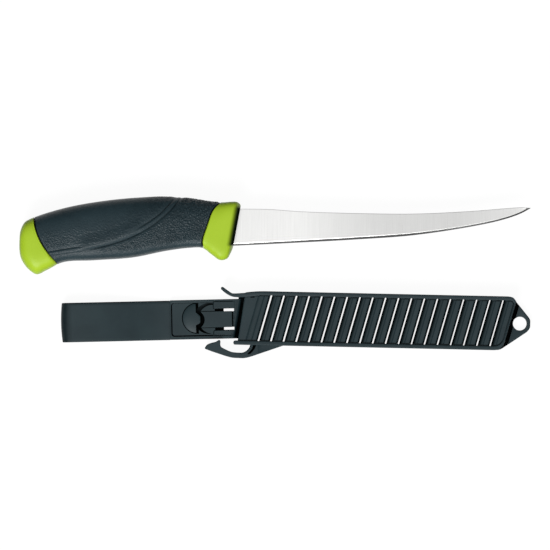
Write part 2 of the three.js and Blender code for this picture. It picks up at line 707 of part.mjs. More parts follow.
function neckSteps() {
  const inner = TONGUE_WIDTH / 2 + SLOT_WIDTH;
  const outer = strapHalf - RIM_WIDTH;
  let steps = null;
  for (const side of [-1, 1]) {
    const span = sideSpan(side, inner + side * -TONGUE_DROP, outer, 0);
    const step = box([slotFrom - OVERLAP, -SLOT_START], span, [panelFace - OVERLAP, rimFace + STEP_RISE]);
    steps = steps ? steps.add(step) : step;
  }
  return steps;
}

function neck() {
  const reach = mouthAt(0) + 3;
  const plate = raise(
    roundedRectangle([-NECK_LENGTH, reach], [-strapHalf, strapHalf], 0.4), 0, rimFace);
  const rampSide = MOUTH_RAMP.map(([way, depth]) => [way, panelFace - depth]);
  const ramp = new THREE.ExtrudeGeometry(polygon([
    [-SLOT_START, panelFace],
    ...rampSide,
    [reach + 1, rampSide.at(-1)[1]],
    [reach + 1, rimFace + 2],
    [-SLOT_START, rimFace + 2],
  ]), { depth: STRAP_WIDTH + 2, bevelEnabled: false });
  ramp.rotateX(Math.PI / 2);
  ramp.translate(0, strapHalf + 1, 0);
  return plate.subtract(neckCuts()).add(neckSteps()).subtract(solidOf(ramp));
}

const strapPlace = new THREE.Matrix4()
  .makeTranslation(0, -STRAP_DROP, 0)
  .multiply(new THREE.Matrix4().makeRotationZ(radians(STRAP_TURN)));

function turnedIntoPlace(solid) {
  return solid.transform(strapPlace.elements);
}

function makeSheathBody() {
  const block = raise(endedOutline(mouthAt, bodyHalf, END_WALL), 0, railFace, BODY_EASE);
  const flange = raise(flangeOutline(), 0, FLANGE_THICK).subtract(footGroove());
  const open = () => -FAR;
  const pocket = endedOutline(open, pocketHalf, 0);
  const cavity = raise(pocket, BACK_WALL, BACK_WALL + CAVITY_DEPTH);
  const sunkFront = raise(pocket, frontFace, railFace + 1);
  const slits = slitCutters().intersect(raise(pocket, -FAR, FAR));
  const eyeHole = raise(disc(eye.x, eye.y, EYE_DIAMETER / 2), -1, railFace);
  return block
    .add(flange)
    .add(railEnd())
    .subtract(cavity)
    .subtract(sunkFront)
    .subtract(slits)
    .subtract(eyeHole)
    .add(apron())
    .add(lip())
    .add(hookRoot())
    .add(turnedIntoPlace(neck()));
}

function makeTongue() {
  return raise(tongueOutline(), plateBottom, panelFace);
}

// Belt clip: one strip along X and Z, folded over at its far end, with a stud on its tail

function stripOutline() {
  const half = CLIP_THICK / 2;
  const foldRadius = (CLIP_HEIGHT - CLIP_THICK) / 2;
  const foldX = -CLIP_LENGTH + half + foldRadius;
  const tailMiddle = (tailBottom + tailTop) / 2;
  const line = new THREE.CurvePath();
  const bendStart = new THREE.Vector2(-NECK_LENGTH - 1, tailMiddle);
  const bendEnd = new THREE.Vector2(foldX, CLIP_HEIGHT - half);
  line.add(new THREE.LineCurve(new THREE.Vector2(-TAIL_END, tailMiddle), bendStart));
  line.add(new THREE.CubicBezierCurve(
    bendStart,
    new THREE.Vector2(bendStart.x - RISE_START, bendStart.y),
    new THREE.Vector2(bendEnd.x + RISE_END, bendEnd.y),
    bendEnd,
  ));
  line.add(new THREE.EllipseCurve(
    foldX, half + foldRadius, foldRadius, foldRadius, Math.PI / 2, Math.PI * 1.5, false));
  line.add(new THREE.LineCurve(
    new THREE.Vector2(foldX, half), new THREE.Vector2(-NECK_LENGTH - LEAF_GAP, half)));
  const one = [];
  const other = [];
  for (const curve of line.curves) {
    const steps = curve.isLineCurve ? 1 : 2 * CURVE_STEPS;
    for (let step = 0; step <= steps; step++) {
      const point = curve.getPoint(step / steps);
      const along = curve.getTangent(step / steps);
      one.push(new THREE.Vector2(point.x - along.y * half, point.y + along.x * half));
      other.unshift(new THREE.Vector2(point.x + along.y * half, point.y - along.x * half));
    }
  }
  const outline = [...one, ...other];
  return new THREE.Shape(outline.filter((point, k) => (
    point.distanceTo(outline[(k + 1) % outline.length]) > 0.02)));
}

function stud() {
  const radius = STUD_RADIUS;
  const profile = [new THREE.Vector2(0, 0), new THREE.Vector2(radius, 0)];
  for (let step = 0; step <= CURVE_STEPS; step++) {
    const angle = (step / CURVE_STEPS) * Math.PI / 2;
    profile.push(new THREE.Vector2(
      step === CURVE_STEPS ? 0 : radius * Math.cos(angle),
      STUD_SHOULDER + (STUD_RISE - STUD_SHOULDER) * Math.sin(angle),
    ));
  }
  const dome = new THREE.LatheGeometry(profile, 4 * CURVE_STEPS);
  dome.rotateX(Math.PI / 2);
  dome.translate(STUD_SHIFT - STUD_PLACE, STUD_LEVEL, tailTop);
  const halfDome = solidOf(dome).subtract(box([-STUD_PLACE, FAR], [-FAR, FAR], [-FAR, FAR]));
  const tab = new THREE.Shape(placed(STUD_TAB, -STUD_PLACE, 0));
  return halfDome.add(raise(tab, tailTop - OVERLAP / 2, tailTop + TAB_RISE));
}

function makeBeltClip() {
  const strip = new THREE.ExtrudeGeometry(stripOutline(), { depth: STRAP_WIDTH, bevelEnabled: false });
  strip.rotateX(Math.PI / 2);
  strip.translate(0, strapHalf, 0);
  let clip = solidOf(strip);
  for (const side of [-1, 1]) {
    const span = sideSpan(side, tailHalf, FAR, 0);
    clip = clip.subtract(box([-NECK_LENGTH - LATCH_GAP, FAR], span, [-FAR, FAR]));
  }
  return clip.add(stud());
}

// Assembly

const GREEN = 0xa9cc2c;
const RUBBER = 0x262d33;
const PLASTIC = 0x2c3436;
const STEEL = 0xd9dbdb;

const knife = new THREE.Group();
knife.add(meshOf('blade', makeBlade(), STEEL, 0.3, 1));
knife.add(meshOf('handle_core', makeCore(), GREEN, 0.42, 0));
knife.add(meshOf('grip', makeGrip(), RUBBER, 0.7, 0));
knife.position.z = HANDLE_THICK / 2;

const strapGroup = new THREE.Group();
strapGroup.add(meshOf('latch_tongue', makeTongue(), PLASTIC, 0.55, 0));
strapGroup.add(meshOf('belt_clip', makeBeltClip(), PLASTIC, 0.55, 0));
strapGroup.position.y = -STRAP_DROP;
strapGroup.rotation.z = radians(STRAP_TURN);

const sheath = new THREE.Group();
sheath.add(meshOf('sheath_body', makeSheathBody(), PLASTIC, 0.55, 0));
sheath.add(meshOf('snap_hook', makeHook(), PLASTIC, 0.55, 0));
sheath.add(strapGroup);
sheath.position.set(SHEATH_SHIFT, -SHEATH_DROP, 0);
sheath.rotation.z = radians(SHEATH_TILT);

const pair = new THREE.Group();
pair.add(knife, sheath);
const bounds = new THREE.Box3().setFromObject(pair, true);
const middle = bounds.getCenter(new THREE.Vector3());
pair.position.set(-middle.x, -middle.y, -bounds.min.z);

export default pair;
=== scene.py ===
"""Fillet knife and its ventilated sheath: fine meshes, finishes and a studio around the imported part."""

import math

import bmesh
import bpy
import numpy as np
from mathutils import Matrix, Vector, noise


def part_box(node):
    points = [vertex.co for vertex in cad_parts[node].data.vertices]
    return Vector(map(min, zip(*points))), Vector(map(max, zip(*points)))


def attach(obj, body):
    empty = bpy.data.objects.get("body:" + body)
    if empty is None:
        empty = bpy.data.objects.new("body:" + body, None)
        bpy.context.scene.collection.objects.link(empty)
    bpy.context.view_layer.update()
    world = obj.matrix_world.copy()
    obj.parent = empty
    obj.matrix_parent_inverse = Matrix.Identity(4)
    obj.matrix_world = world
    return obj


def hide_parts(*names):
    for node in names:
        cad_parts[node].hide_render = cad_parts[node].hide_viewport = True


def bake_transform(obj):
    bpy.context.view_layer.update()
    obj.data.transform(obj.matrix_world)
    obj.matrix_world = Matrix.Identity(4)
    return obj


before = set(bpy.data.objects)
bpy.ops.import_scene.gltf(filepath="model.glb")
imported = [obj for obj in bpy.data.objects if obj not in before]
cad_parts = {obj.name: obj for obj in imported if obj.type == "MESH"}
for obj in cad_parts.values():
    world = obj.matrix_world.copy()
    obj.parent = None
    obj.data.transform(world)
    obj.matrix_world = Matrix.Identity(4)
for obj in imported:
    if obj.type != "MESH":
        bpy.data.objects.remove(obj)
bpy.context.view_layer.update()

# Shapes are drawn in millimetres in the frame of the knife, the sheath or its strap, then placed in metres.
MM = 0.001

# Blade
BLADE_LENGTH = 155
SPINE_THICK = 2
TIP_THICK = 0.9
SHOULDER_THICK = 0.55
FACET_HEIGHT = 0.22  # polished facet above the honed edge
HONED_HEIGHTS = (  # share of the length, height
    (0, 0.95), (0.15, 1.15), (0.55, 1.2), (0.75, 0.88), (1, 0.88),
)
SHOULDER_STRIP = 0.12  # keeps the flat shaded as flat down to its shoulder
SPINE_ROUND = 0.22
ROUND_CORNER = 0.3
SHOULDER_LIMIT = 0.75  # greatest shares towards the tip: shoulder of the height,
HONED_LIMIT = 0.85  # honed edge of the shoulder,
THICK_LIMIT = 0.8  # the shoulder's thickness of the spine's
ROUND_LIMIT = 0.1  # and the spine's rounding of the height
FACET_TAPER = 0.62  # thickness over the honed edge, as a share of the shoulder's
EDGE_HALF = 0.015
BLADE_STEPS = 220
FLAT_STEPS = 9
HEEL_DEPTH = 2.2
# painted reflection: brightness of the ground steel and of its honed edge along the blade
BLADE_PAINTED_REFLECTION = ((0, 0.95), (0.18, 0.985), (0.34, 0.86), (0.5, 0.79), (0.82, 0.775), (1, 0.85))
HONED_PAINTED_REFLECTION = ((0, 0.53), (0.15, 0.41), (0.35, 0.37), (0.65, 0.37), (0.8, 0.72), (0.94, 0.7), (1, 0.45))
BLADE_OUTLINE = [  # share of the length, spine height, edge height
    (0, 9.3, -10.1), (0.1, 9.1, -9.4), (0.2, 8, -8.6), (0.4, 7, -6.9), (0.6, 6.75, -4.6),
    (0.8, 8.2, 0.1), (0.9, 9.45, 3.52), (0.96, 10.05, 6.7), (0.995, 9.85, 9.55),
]

# Handle
HANDLE_LENGTH = 114.8
HANDLE_THICK = 23.2
HEIGHT_OVER_WIDTH = 1.3  # of its section, about
GRIP_WALL = 2.6
CORE_INSET = 2.9
POMMEL_CAP = 7.6
GUARD_DEPTH = 15.6
SEAM_GAP = 0.32
SEAM_ROUND = 0.25  # rounding of the edges beside each seam
SEAM_SEARCH = (0.02, 0.995, 1400)  # shares of the handle, and steps, where a seam is looked for
# painted shade on the rubber beside each seam
SEAM_PAINTED_SHADE = 0.9
SEAM_SHADE = (0.8, 0.3)  # ways from a seam between which painted shade comes on the rubber
POMMEL_SEAM = ((0, 5), (0, -6.6), (11.9, -19.8))  # side view: upright, then curving forward below
POMMEL_SEAM_END = ((18.6, -27.2), (25.3, -34.6))
GUARD_SEAM = [
    (-2.5, -30), (-2.5, -10.8), (-2.6, -7.6), (0, 0.7), (2.7, 8.2), (6.1, 12.1), (10, 15), (20, 22),
]
RIM_PLACE = 0.85  # fine line on the pommel before its seam
RIM_DEPTH = 0.14
RIM_SPREAD = 0.16
CAP_RINGS = (0.04, 0.3, 0.55, 0.78, 0.93)
CAP_BULGE = 0.05
SOCKET_DEPTH = 1.6  # hollow in the guard's face round the blade
SOCKET_WIDTH = 0.62
FACE_SHADE = (-4.2, -0.9)  # ways from the guard's face between which painted shade comes on
FACE_TOP = (11.8, 9.4)  # and the heights where that begins
FACE_BOTTOM = (-11, -9.4)
HANDLE_SECTIONS = [  # top share and height, bottom share and height, thickness share, squareness
    (1, -7.4, 1, -12.6, 0.36, 2.8), (0.995, -2.1, 0.994, -16.4, 0.7, 3),
    (0.976, 2.2, 0.972, -20.8, 0.87, 3.2), (0.945, 4.3, 0.945, -23.8, 0.93, 3.3),
    (0.905, 6.1, 0.92, -25.2, 0.94, 3), (0.85, 8.1, 0.876, -23, 0.94, 2.9),
    (0.75, 11, 0.8, -18.9, 0.93, 2.85), (0.6, 13.8, 0.66, -17.9, 0.935, 2.85),
    (0.45, 15.4, 0.48, -16.4, 0.92, 2.85), (0.32, 15.7, 0.33, -13, 0.86, 2.9),
    (0.22, 14.8, 0.22, -11.35, 0.8, 3.1), (0.13, 13.2, 0.16, -11.45, 0.8, 3.6),
    (0.075, 12.7, 0.118, -14.9, 0.85, 4.6), (0.035, 13, 0.08, -17.7, 0.87, 5.6),
    (0.006, 13, 0.048, -16.9, 0.82, 5.6), (-0.0095, 12, 0.0305, -13.6, 0.58, 4.6),
    (-0.0145, 10.8, 0.0215, -11.2, 0.15, 3),
]
UPPER_CREASE = [  # side view of the two lines that sweep across the grip
    (-99.6, -13.3), (-84.9, -10.9), (-68.5, -8.8), (-60.6, -6.3), (-52.2, -1.1), (-44.3, 4),
    (-39.8, 7.6), (-37.2, 10.4), (-33.5, 14), (-29.5, 17.4),
]
LOWER_CREASE = [
    (-98.5, -15.3), (-84.9, -13.7), (-71.7, -11.1), (-60.6, -7.8), (-52.2, -4.2), (-44.3, 0.6),
    (-38, 5.8), (-35, 8.7), (-32, 12.4), (-28, 17.2),
]
CROWN_SHIFT = 0.3  # widest line of the grip, below the middle, as a share of the half height
CROWN_BACK = (0.1, 0.4)  # shares of the handle between which it comes and goes
CROWN_FRONT = (0.9, 0.6)
CREASE_DEPTH = 0.4
CREASE_WIDTH = 0.24
# painted shade in the creases
CREASE_PAINTED_SHADE = 0.8
CREASES_FROM = (-103, -97)  # ways along the handle between which the creases begin
CREASES_TOP = (11.5, 14.5)  # heights between which they fade
CREASES_FADE = 0.7
UPPER_STRENGTH = 0.8
UPPER_DEEPENS = (-70, -60)  # ways along between which each gets its full depth
LOWER_DEEPENS = (-80, -71)
BAND_RISE = 0.35  # smooth band between the two creases
BAND_EDGE = 0.8
RIDGE_RISE = 0.8  # swelling over the lower crease, where the upper one fades out
RIDGE_TOP = 2.4  # ways from the lower crease to its top and its end
RIDGE_END = 9
SWELL_BACK = (-86, -78)  # ways along the handle between which it comes and goes
SWELL_FRONT = (-48, -55)
PEBBLE_SIZE = 1
PEBBLE_FLANK = 0.5
# painted shade between the grains
PEBBLE_PAINTED_SHADE = 0.25
PEBBLE_RISE = 0.42
PEBBLE_SINK = 0.1
PEBBLED_FROM = (-80, -66)  # pebbled zone: ways along, under the lower crease and over the bottom
PEBBLED_UNDER = (0.4, 1.6)
PEBBLED_OVER = (3, 5)
SPECKLE = 0.6  # lighter grain over the upper crease, and where it comes and goes
SPECKLE_FROM = (0.5, 2)
SPECKLE_TO = (6, 15)
GRAIN_EDGE = (0.5, 1.6)  # ways from a seam between which the grain begins

# Sheath
BODY_HALF = 14.25
POCKET_HALF = 12.1
POCKET_LENGTH = 140.65
MOUTH_OFFSET = 2.45
BACK_WALL = 2.2
CAVITY_TOP = 8.6
FRONT_FACE = 10.6
RAIL_FACE = 11.3
END_WALL = 0.9
MOUTH_LEAN = math.tan(math.radians(7.8))
MOUTH_DIP = 0.85  # upper rail bends in towards the mouth
DIP_LENGTH = 14
RAMP_LEAN = 0.2  # neck's end leans with the mouth
RAIL_REACH = 1.95  # lower rail runs out this far before the mouth
RAIL_LENGTH = 8
RAIL_ROUND = 0.9
APRON_EDGE = 0.7  # back wall runs out this far before the mouth
SLIT_LEAN = math.tan(math.radians(14.9))
SLIT_COUNT = 19
SLIT_HALF = 0.42
FIRST_SLIT = MOUTH_OFFSET + 12.45
LAST_SLIT = MOUTH_OFFSET + POCKET_LENGTH - 6
SLIT_CROWDING = 0.0275
FLANGE_THICK = 3.4
EYE = (MOUTH_OFFSET + POCKET_LENGTH + 6.35, 0)
EYE_RADIUS = 3.62
NOSE_RADIUS = 5.75
NOSE_FLAT = 5.5  # way from the eye to the nose's flat end
UPPER_FLANK = math.radians(39.8)
LOWER_FLANK = math.radians(-55)
FLANGE_CORNERS = ((2, 2), (5, 1.3))  # rounding along the long edge and the flank, below and above
LOWER_CORNER = 4.6  # rounding of the pocket's end
UPPER_CORNER = 2.8
FOOT_GROOVE = 2.4  # groove along the end wall's foot, in the flange
GROOVE_DEPTH = 1.9
GUTTER_WIDTH = 0.5  # thin groove between the slats and the rails round them
GUTTER_SLOPE = 0.35
GUTTER_DEPTH = 0.8
SLAT_STATIONS = 9
SLAT_OVERLAP = 0.3  # how far the slats run into the rails
LAND_NOTCH = ((7, 9.2), (10.7, 11.7))
NOTCH_DEPTH = 1.2
FAR_BEFORE = -60  # well before the mouth
SHADE_STARTS = 0.12  # depths under the open face where the shell's painted shade begins, and where it is full
SHELL_SHADE = 0.8
# deeper painted shadow on the mouth's ramp, under the front wall
RAMP_SHADE = 1.3
RAMP_FROM = -1.6
UNDERSIDE = 0.35  # what lies lower gets no painted shade
# painted shade in the gutters round the slats
GUTTER_PAINTED_SHADE = 0.55
LIP_UPPER = [  # flared lip before the mouth, upper and lower edges
    (12, 14.05), (7, 13.5), (1.8, 12.95), (-2.6, 12.8), (-3.6, 13.3), (-5.4, 14.5), (-7.5, 16),
]
LIP_END = ((-7.9, 15.3), 0.75, math.radians(60), math.radians(215), 8)  # arc between them
LIP_LOWER = [(-8.45, 14.65), (-6, 12.7), (-2.8, 11.1), (0.5, 10.75), (7, 11.2), (12, 11.9)]
# step on each slat: way, height, painted shade
SLAT_STEP = [(2.8, -0.36, 0.2), (3, -0.22, 0.08), (3.2, -0.06, 0), (3.45, 0, 0)]
SLAT_LEFT = [  # slat's section: way from the slit before it, height, painted shade
    (0.42, -2, 1), (0.43, -1.75, 1), (0.55, -1.4, 1), (0.8, -1.1, 0.95), (1.1, -0.85, 0.85),
    (1.4, -0.62, 0.65), (1.75, -0.44, 0.38), (2.2, -0.34, 0.22), (2.62, -0.34, 0.16), *SLAT_STEP,
]
SLAT_RIGHT = [  # the same, before the next slit
    (1.95, 0.03, 0), (1.7, 0.06, 0), (1.5, 0.02, 0), (1.3, -0.15, 0.2), (1.1, -0.5, 0.5),
    (0.8, -1.1, 0.85), (0.43, -1.75, 1), (0.42, -2, 1),
]
LAND_LEFT = [  # first land: way from the mouth, height, painted shade
    (0.3, -2, 1), (0.02, -1.5, 1), (0, -0.7, 0.6), (0.1, -0.3, 0.1), (0.3, -0.08, 0), (0.6, 0, 0),
]
LAND_LINES = [  # first land: way from its blind groove, height, painted shade
    (-0.75, 0.02, 0), (-0.35, -0.02, 0.02), (-0.1, -0.3, 0.15), (0.2, -0.36, 0.2), (0.45, -0.22, 0.08),
    (2.3, -0.22, 0.04), (2.62, -0.3, 0.08), *SLAT_STEP,
]

# Snap hook
HOOK_LOW = 2.4
HOOK_HIGH = 8.4
ARM_UNDER = -BODY_HALF - 7.1
ARM_OVER = ARM_UNDER + 2.9
ROOT_OFFSET = 3.6
ROOT_END = ROOT_OFFSET + 8.4
ROOT_OVERLAP = 0.6  # how far the root runs into the body
ROOT_UNDER = [
    (ROOT_OFFSET - 2, ARM_UNDER), (ROOT_OFFSET + 1, ARM_UNDER + 0.1), (ROOT_OFFSET + 4.2, ARM_UNDER + 0.9),
    (ROOT_END, ARM_UNDER + 2.4),
]
ROOT_THROAT = [(7.4, -BODY_HALF), (6.9, -15.7), (5.2, -17.6), (3.1, ARM_OVER), (ROOT_OFFSET - 2, ARM_OVER)]
ROOT_GROOVE = (  # its two sides
    [(9, -14.3), (8.3, -16.3), (6.1, -18.8)], [(6.3, -19.3), (7.6, -18.9), (9.8, -16.3), (10.6, -14.3)],
)
ROOT_GROOVE_FLOOR = 3.2
WEB_LENGTH = 21
WEB_INSET = 0.15
ARM_START = ROOT_OFFSET + 1.2
ARM_INSET = 0.03
ARM_TOP = [(ARM_START, ARM_OVER + 0.02), (0.5, ARM_OVER), (-2.5, -18.1), (-5.5, -16.9), (-7.6, -15.9)]
BARB = [
    (-7.6, -15.9), (-8.15, -15.2), (-8.35, -14.3), (-8.3, -12.9), (-8.45, -12.3), (-9.1, -12),
    (-10.8, -13), (-13, -13.6), (-15.4, -14.7), (-16.5, -16.3),
]
ARM_BOTTOM = [
    (-16.3, -16.85), (-12.9, -18.05), (-8.9, -19.3), (-5.3, -20.4), (-1.6, -21.2),
    (ARM_START, ARM_UNDER + 0.1),
]

# Strap, neck and latch
STRAP_TURN = math.radians(2.49)
STRAP_DROP = 0.6
STRAP_HALF = 10.2
NECK_LENGTH = 35.1
NECK_FLOOR = 0.9
PLATE_BOTTOM = 2.5
PANEL_FACE = 3.4
RIM_FACE = 3.8
RIM_WIDTH = 1.3
STEP_FACE = 4
TAIL_BOTTOM = 1.2
CLIP_THICK = 1
TAIL_HALF = 8.8
TAIL_END = 6.75
LATCH_GAP = 0.3
TONGUE_BACK = -2.1
HINGE_GROOVE = (-2.45, -1.75)
TONGUE_TIP = TONGUE_BACK - 16.9
TONGUE_HALF = 4.2
TONGUE_DROP = 0.1
TONGUE_BITE = 2.1  # depth of the hollow in its tip
SLOT_FROM = -11.5
SLOT_TO = -1.35
SLOT_FAR = TONGUE_HALF + 1.4  # far sides of the slots, from the tongue's middle
PANEL_EDGES = (-NECK_LENGTH + RIM_WIDTH / 2, SLOT_TO, -STRAP_HALF + RIM_WIDTH + 0.2, STRAP_HALF - RIM_WIDTH)
THROUGH = (PLATE_BOTTOM - 0.1, 5)  # heights of what is cut through the plate
ACROSS = (-12, 12)  # wider than the strap
RAMP = [  # side view of the plate's end
    (SLOT_TO, PANEL_FACE), (-0.5, PANEL_FACE - 0.04), (0.1, 3.1), (0.6, 2.6), (1, 1.9), (1.3, 1.2),
]
STUD = (-20.65, 0.7)
STUD_RADIUS = 7.8
STUD_RISE = 2.3
STUD_SHOULDER = 0.3  # share of the rise under its dome
STUD_GAP = 0.45
STUD_EDGE = -21.55  # its straight side
STUD_PLAY = 1.5  # window's straight side from the stud's
STUD_TAB = [  # ways from the straight side, and heights over the strap's axis
    (0, -3), (0.3, -2.85), (1.7, -2.15), (2.3, -1.5), (2.4, 0.1), (2.3, 1.7), (1.7, 2.4), (0.3, 3.5),
    (0, 3.8),
]
ISLAND = (-12.6, 0)  # round island that the tongue is cut from
ISLAND_RADIUS = 7.6
WELL = (-14.5, 0.45)  # round well about the island
WELL_RADIUS = 8.15
CLIP_LENGTH = 92.7
CLIP_HEIGHT = 8.2
CLIP_ROUND = 0.45
CLIP_STEP = 1.5  # longest edge across it
CLIP_RISE = (14, 26)  # reach of the curve's handles where the strip rises
FOLD_BOW = 0.6  # how far the fold bows out, and the ways along where it begins
FOLD_BOW_FROM = (78, 92)
LEAF_END = -NECK_LENGTH - 2.2

# Layout
SHEATH_TILT = math.radians(-1.23)
SHEATH_SHIFT = (-0.5, -48)

# Camera: the photograph is 550 pixels wide at this scale
VIEW_WIDTH = 550 * 0.5267 * MM
VIEW_CENTRE = (-0.395 * MM, 1.317 * MM)
VIEW_LEVEL = 11 * MM
VIEW_HEIGHT = 4

# Light: levels of the dome from its rim to its middle, and how far it leans to the front
DOME_LEAN = math.radians(18)
DOME_LEVELS = ((0, 0.01), (0.45, 0.16), (0.8, 0.5), (0.95, 0.9), (1, 1))
KEY_PLACE = (-0.35, -0.85, 1.15)
KEY_SIZE = 0.7
KEY_POWER = 16

# Floor
FLOOR_REACH = 40
FLOOR_LEVEL = -0.0002
FLOOR_TONE = (0.1, 0.1, 0.1)
FLOOR_GLOW = 0.935  # what the eye sees of it

# Finishes: colours, shine, sizes of the noise, strength and height of the bump
# colour that recesses fade to: painted shade
PAINTED_SHADE_COLOUR = (0.0015, 0.002, 0.002)
RUBBER_TONES = ((0.0125, 0.028, 0.0355), (0.021, 0.043, 0.053))
RUBBER_SPAN = (0.35, 0.65)
RUBBER_SPECULAR = 0.36
RUBBER_CLOUDS = (70, 2)
RUBBER_GRAIN = (1500, 4, 0.6)
RUBBER_PEBBLES = 1900
RUBBER_BUMP = (0.7, 0.00015)
RUBBER_ROUGHNESS = (0.32, 0.46)
# each dark colour below is the painted shade that recesses fade to
LIME = {
    "tones": ((0.385, 0.58, 0.022), (0.425, 0.62, 0.028)), "dark": (0.006, 0.012, 0.004), "specular": 0.25,
    "clouds": (45, 3), "grain": (5200, 2), "bump": (0.12, 0.00004), "roughness": (0.34, 0.46),
}
SHEATH_PLASTIC = {
    "tones": ((0.0097, 0.0228, 0.0282), (0.0138, 0.0302, 0.036)), "dark": PAINTED_SHADE_COLOUR, "specular": 0.3,
    "clouds": (90, 3), "grain": (3600, 3), "bump": (0.22, 0.00006), "roughness": (0.42, 0.58),
}
STREAK = 1.2
STREAK_SCALE = (2600, 55, 400)
STEEL = ((0.93, 0.93, 0.92), (0.84, 0.84, 0.83), 0.3)  # bright and dull lines, roughness
# the honed edge's dark colours are a painted dark reflection
HONED_STEEL_PAINTED_DARK = ((0.16, 0.16, 0.16), (0.1, 0.1, 0.1), 0.4)
GRIND = (1, 4, 0.65)
GRIND_SCALE = (5200, 60, 60)
GRIND_BUMP = (0.05, 0.00002)
GRIND_SHEEN = 0.06
TONED_FROM = -0.01  # run of the painted reflection along the blade, in metres
TONED_TO = 0.12

# Rounded edges
EDGE_STEPS = 4
LEAST_COSINE = 0.35  # limits the reach of sharp corners that move in
CAP_MARGIN = 0.06  # strip that keeps a prism's top shaded as flat

scene = bpy.context.scene


# Curves and outlines


def spline(points, shares):
    """Centripetal Catmull-Rom curve through points, at shares of its run."""
    p = np.asarray(points, float)
    at = np.asarray(shares, float) * (len(p) - 1)
    p = np.vstack([2 * p[0] - p[1], p, 2 * p[-1] - p[-2]])
    k = np.clip(at.astype(int), 0, len(p) - 4)
    w = (at - k)[:, None]
    a, b, c, d = (p[k + i] for i in range(4))

    def step(one, other):
        return np.sqrt(np.maximum(np.linalg.norm(other - one, axis=1, keepdims=True), 1e-9))

    ab, bc, cd = step(a, b), step(b, c), step(c, d)
    out = ((b - a) / ab - (c - a) / (ab + bc) + (c - b) / bc) * bc
    into = ((c - b) / bc - (d - b) / (bc + cd) + (d - c) / cd) * bc
    return b + out * w + (3 * (c - b) - 2 * out - into) * w**2 + (2 * (b - c) + out + into) * w**3


def smooth(points, per_step=8):
    """The spline as a list of points."""
    count = (len(points) - 1) * per_step
    return [tuple(p) for p in spline(points, np.linspace(0, 1, count + 1))]


def arc(centre, radius, start, end, steps=20):
    angles = np.linspace(start, end, steps + 1)
    return [(centre[0] + radius * math.cos(a), centre[1] + radius * math.sin(a)) for a in angles]


def bend(start, control, end, steps=12):
    """Quadratic curve between two points."""
    a, b, c = (np.array(p, float) for p in (start, control, end))
    shares = np.linspace(0, 1, steps + 1)
    return [tuple(a * (1 - t) ** 2 + 2 * b * t * (1 - t) + c * t**2) for t in shares]


def rounded(left, right, bottom, top, radius, steps=6):
    """Rectangle with round corners."""
    quarter = math.pi / 2
    corners = [(right - radius, bottom + radius, -1), (right - radius, top - radius, 0),
               (left + radius, top - radius, 1), (left + radius, bottom + radius, 2)]
    points = []
    for x, y, turn in corners:
        points += arc((x, y), radius, turn * quarter, (turn + 1) * quarter, steps)
    return points


def tidied(outline):
    """Counter-clockwise outline without doubled points."""
    p = np.asarray(outline, float)
    p = p[np.linalg.norm(p - np.roll(p, 1, 0), axis=1) > 1e-4]
    x, y = p.T
    area = np.sum(x * np.roll(y, -1) - np.roll(x, -1) * y)
    return p if area > 0 else p[::-1]


def unit(ways):
    return ways / np.maximum(np.linalg.norm(ways, axis=1, keepdims=True), 1e-9)


def moved_in(outline, distance):
    """Outline moved in by one distance all round."""
    way = unit(outline - np.roll(outline, 1, 0))
    normal = np.stack([-way[:, 1], way[:, 0]], 1)
    middle = unit(normal + np.roll(normal, -1, 0))
    stretch = 1 / np.maximum(np.sum(middle * normal, axis=1), LEAST_COSINE)
    return outline + middle * (distance * stretch)[:, None]


def divided(outline, longest):
    """Outline with its long edges cut shorter."""
    points = []
    for start, end in zip(outline, np.roll(outline, -1, 0)):
        count = math.ceil(np.linalg.norm(end - start) / longest)
        points += [start + (end - start) * k / count for k in range(count)]
    return np.array(points)


def smoothstep(low, high, value):
    t = np.clip((value - low) / (high - low), 0, 1)
    return t * t * (3 - 2 * t)


def bell(value, width):
    return np.exp(-(value / width) ** 2)


def squared(value, power):
    """Sine or cosine that draws a rounded square."""
    return np.sign(value) * np.abs(value) ** power


# Meshes


def skin(rings, loop=False):
    """Closed mesh through rings of points, capped at its ends or joined to itself."""
    rings = np.asarray(rings, float)
    rows, count = rings.shape[:2]
    index = np.arange(rows * count).reshape(rows, count)
    if loop:
        index = np.vstack([index, index[:1]])
    a, b = index[:-1], np.roll(index[:-1], -1, 1)
    c, d = np.roll(index[1:], -1, 1), index[1:]
    faces = np.stack([a, b, c, d], -1).reshape(-1, 4).tolist()
    if not loop:
        faces += [index[0][::-1].tolist(), index[-1].tolist()]
    mesh = bpy.data.meshes.new("skin")
    mesh.from_pydata(rings.reshape(-1, 3).tolist(), [], faces)
    return facing_out(mesh)


def facing_out(mesh):
    work = bmesh.new()
    work.from_mesh(mesh)
    bmesh.ops.recalc_face_normals(work, faces=work.faces)
    work.to_mesh(mesh)
    work.free()
    return mesh


def stacked(outline, levels):
    """Solid through copies of an outline at insets and heights."""
    outline = tidied(outline)
    rings = []
    for inset, height in levels:
        flat = moved_in(outline, inset)
        rings.append(np.column_stack([flat, np.full(len(flat), height)]))
    return skin(rings)


def quarter_round(ease):
    """Insets, and depths under the top, round an upper edge."""
    turns = np.linspace(0, math.pi / 2, EDGE_STEPS + 1) if ease else [0]
    return [(ease * (1 - math.cos(turn)), ease * (1 - math.sin(turn))) for turn in turns]


def prism(outline, low, high, ease_low=0.0, ease_high=0.0):
    """Solid over an outline, with rounded lower and upper edges."""
    levels = [(inset, low + rise) for inset, rise in reversed(quarter_round(ease_low))]
    levels += [(inset, high - drop) for inset, drop in quarter_round(ease_high)]
    if ease_high:
        levels.append((ease_high + CAP_MARGIN, high))
    return stacked(outline, levels)


def pit(outline, low, rim, ease):
    """Cutter for a hollow whose rim is rounded over."""
    edge = [(-inset, rim - drop) for inset, drop in quarter_round(ease)]
    return stacked(outline, [(0, low), *edge, (-ease, rim + 3)])


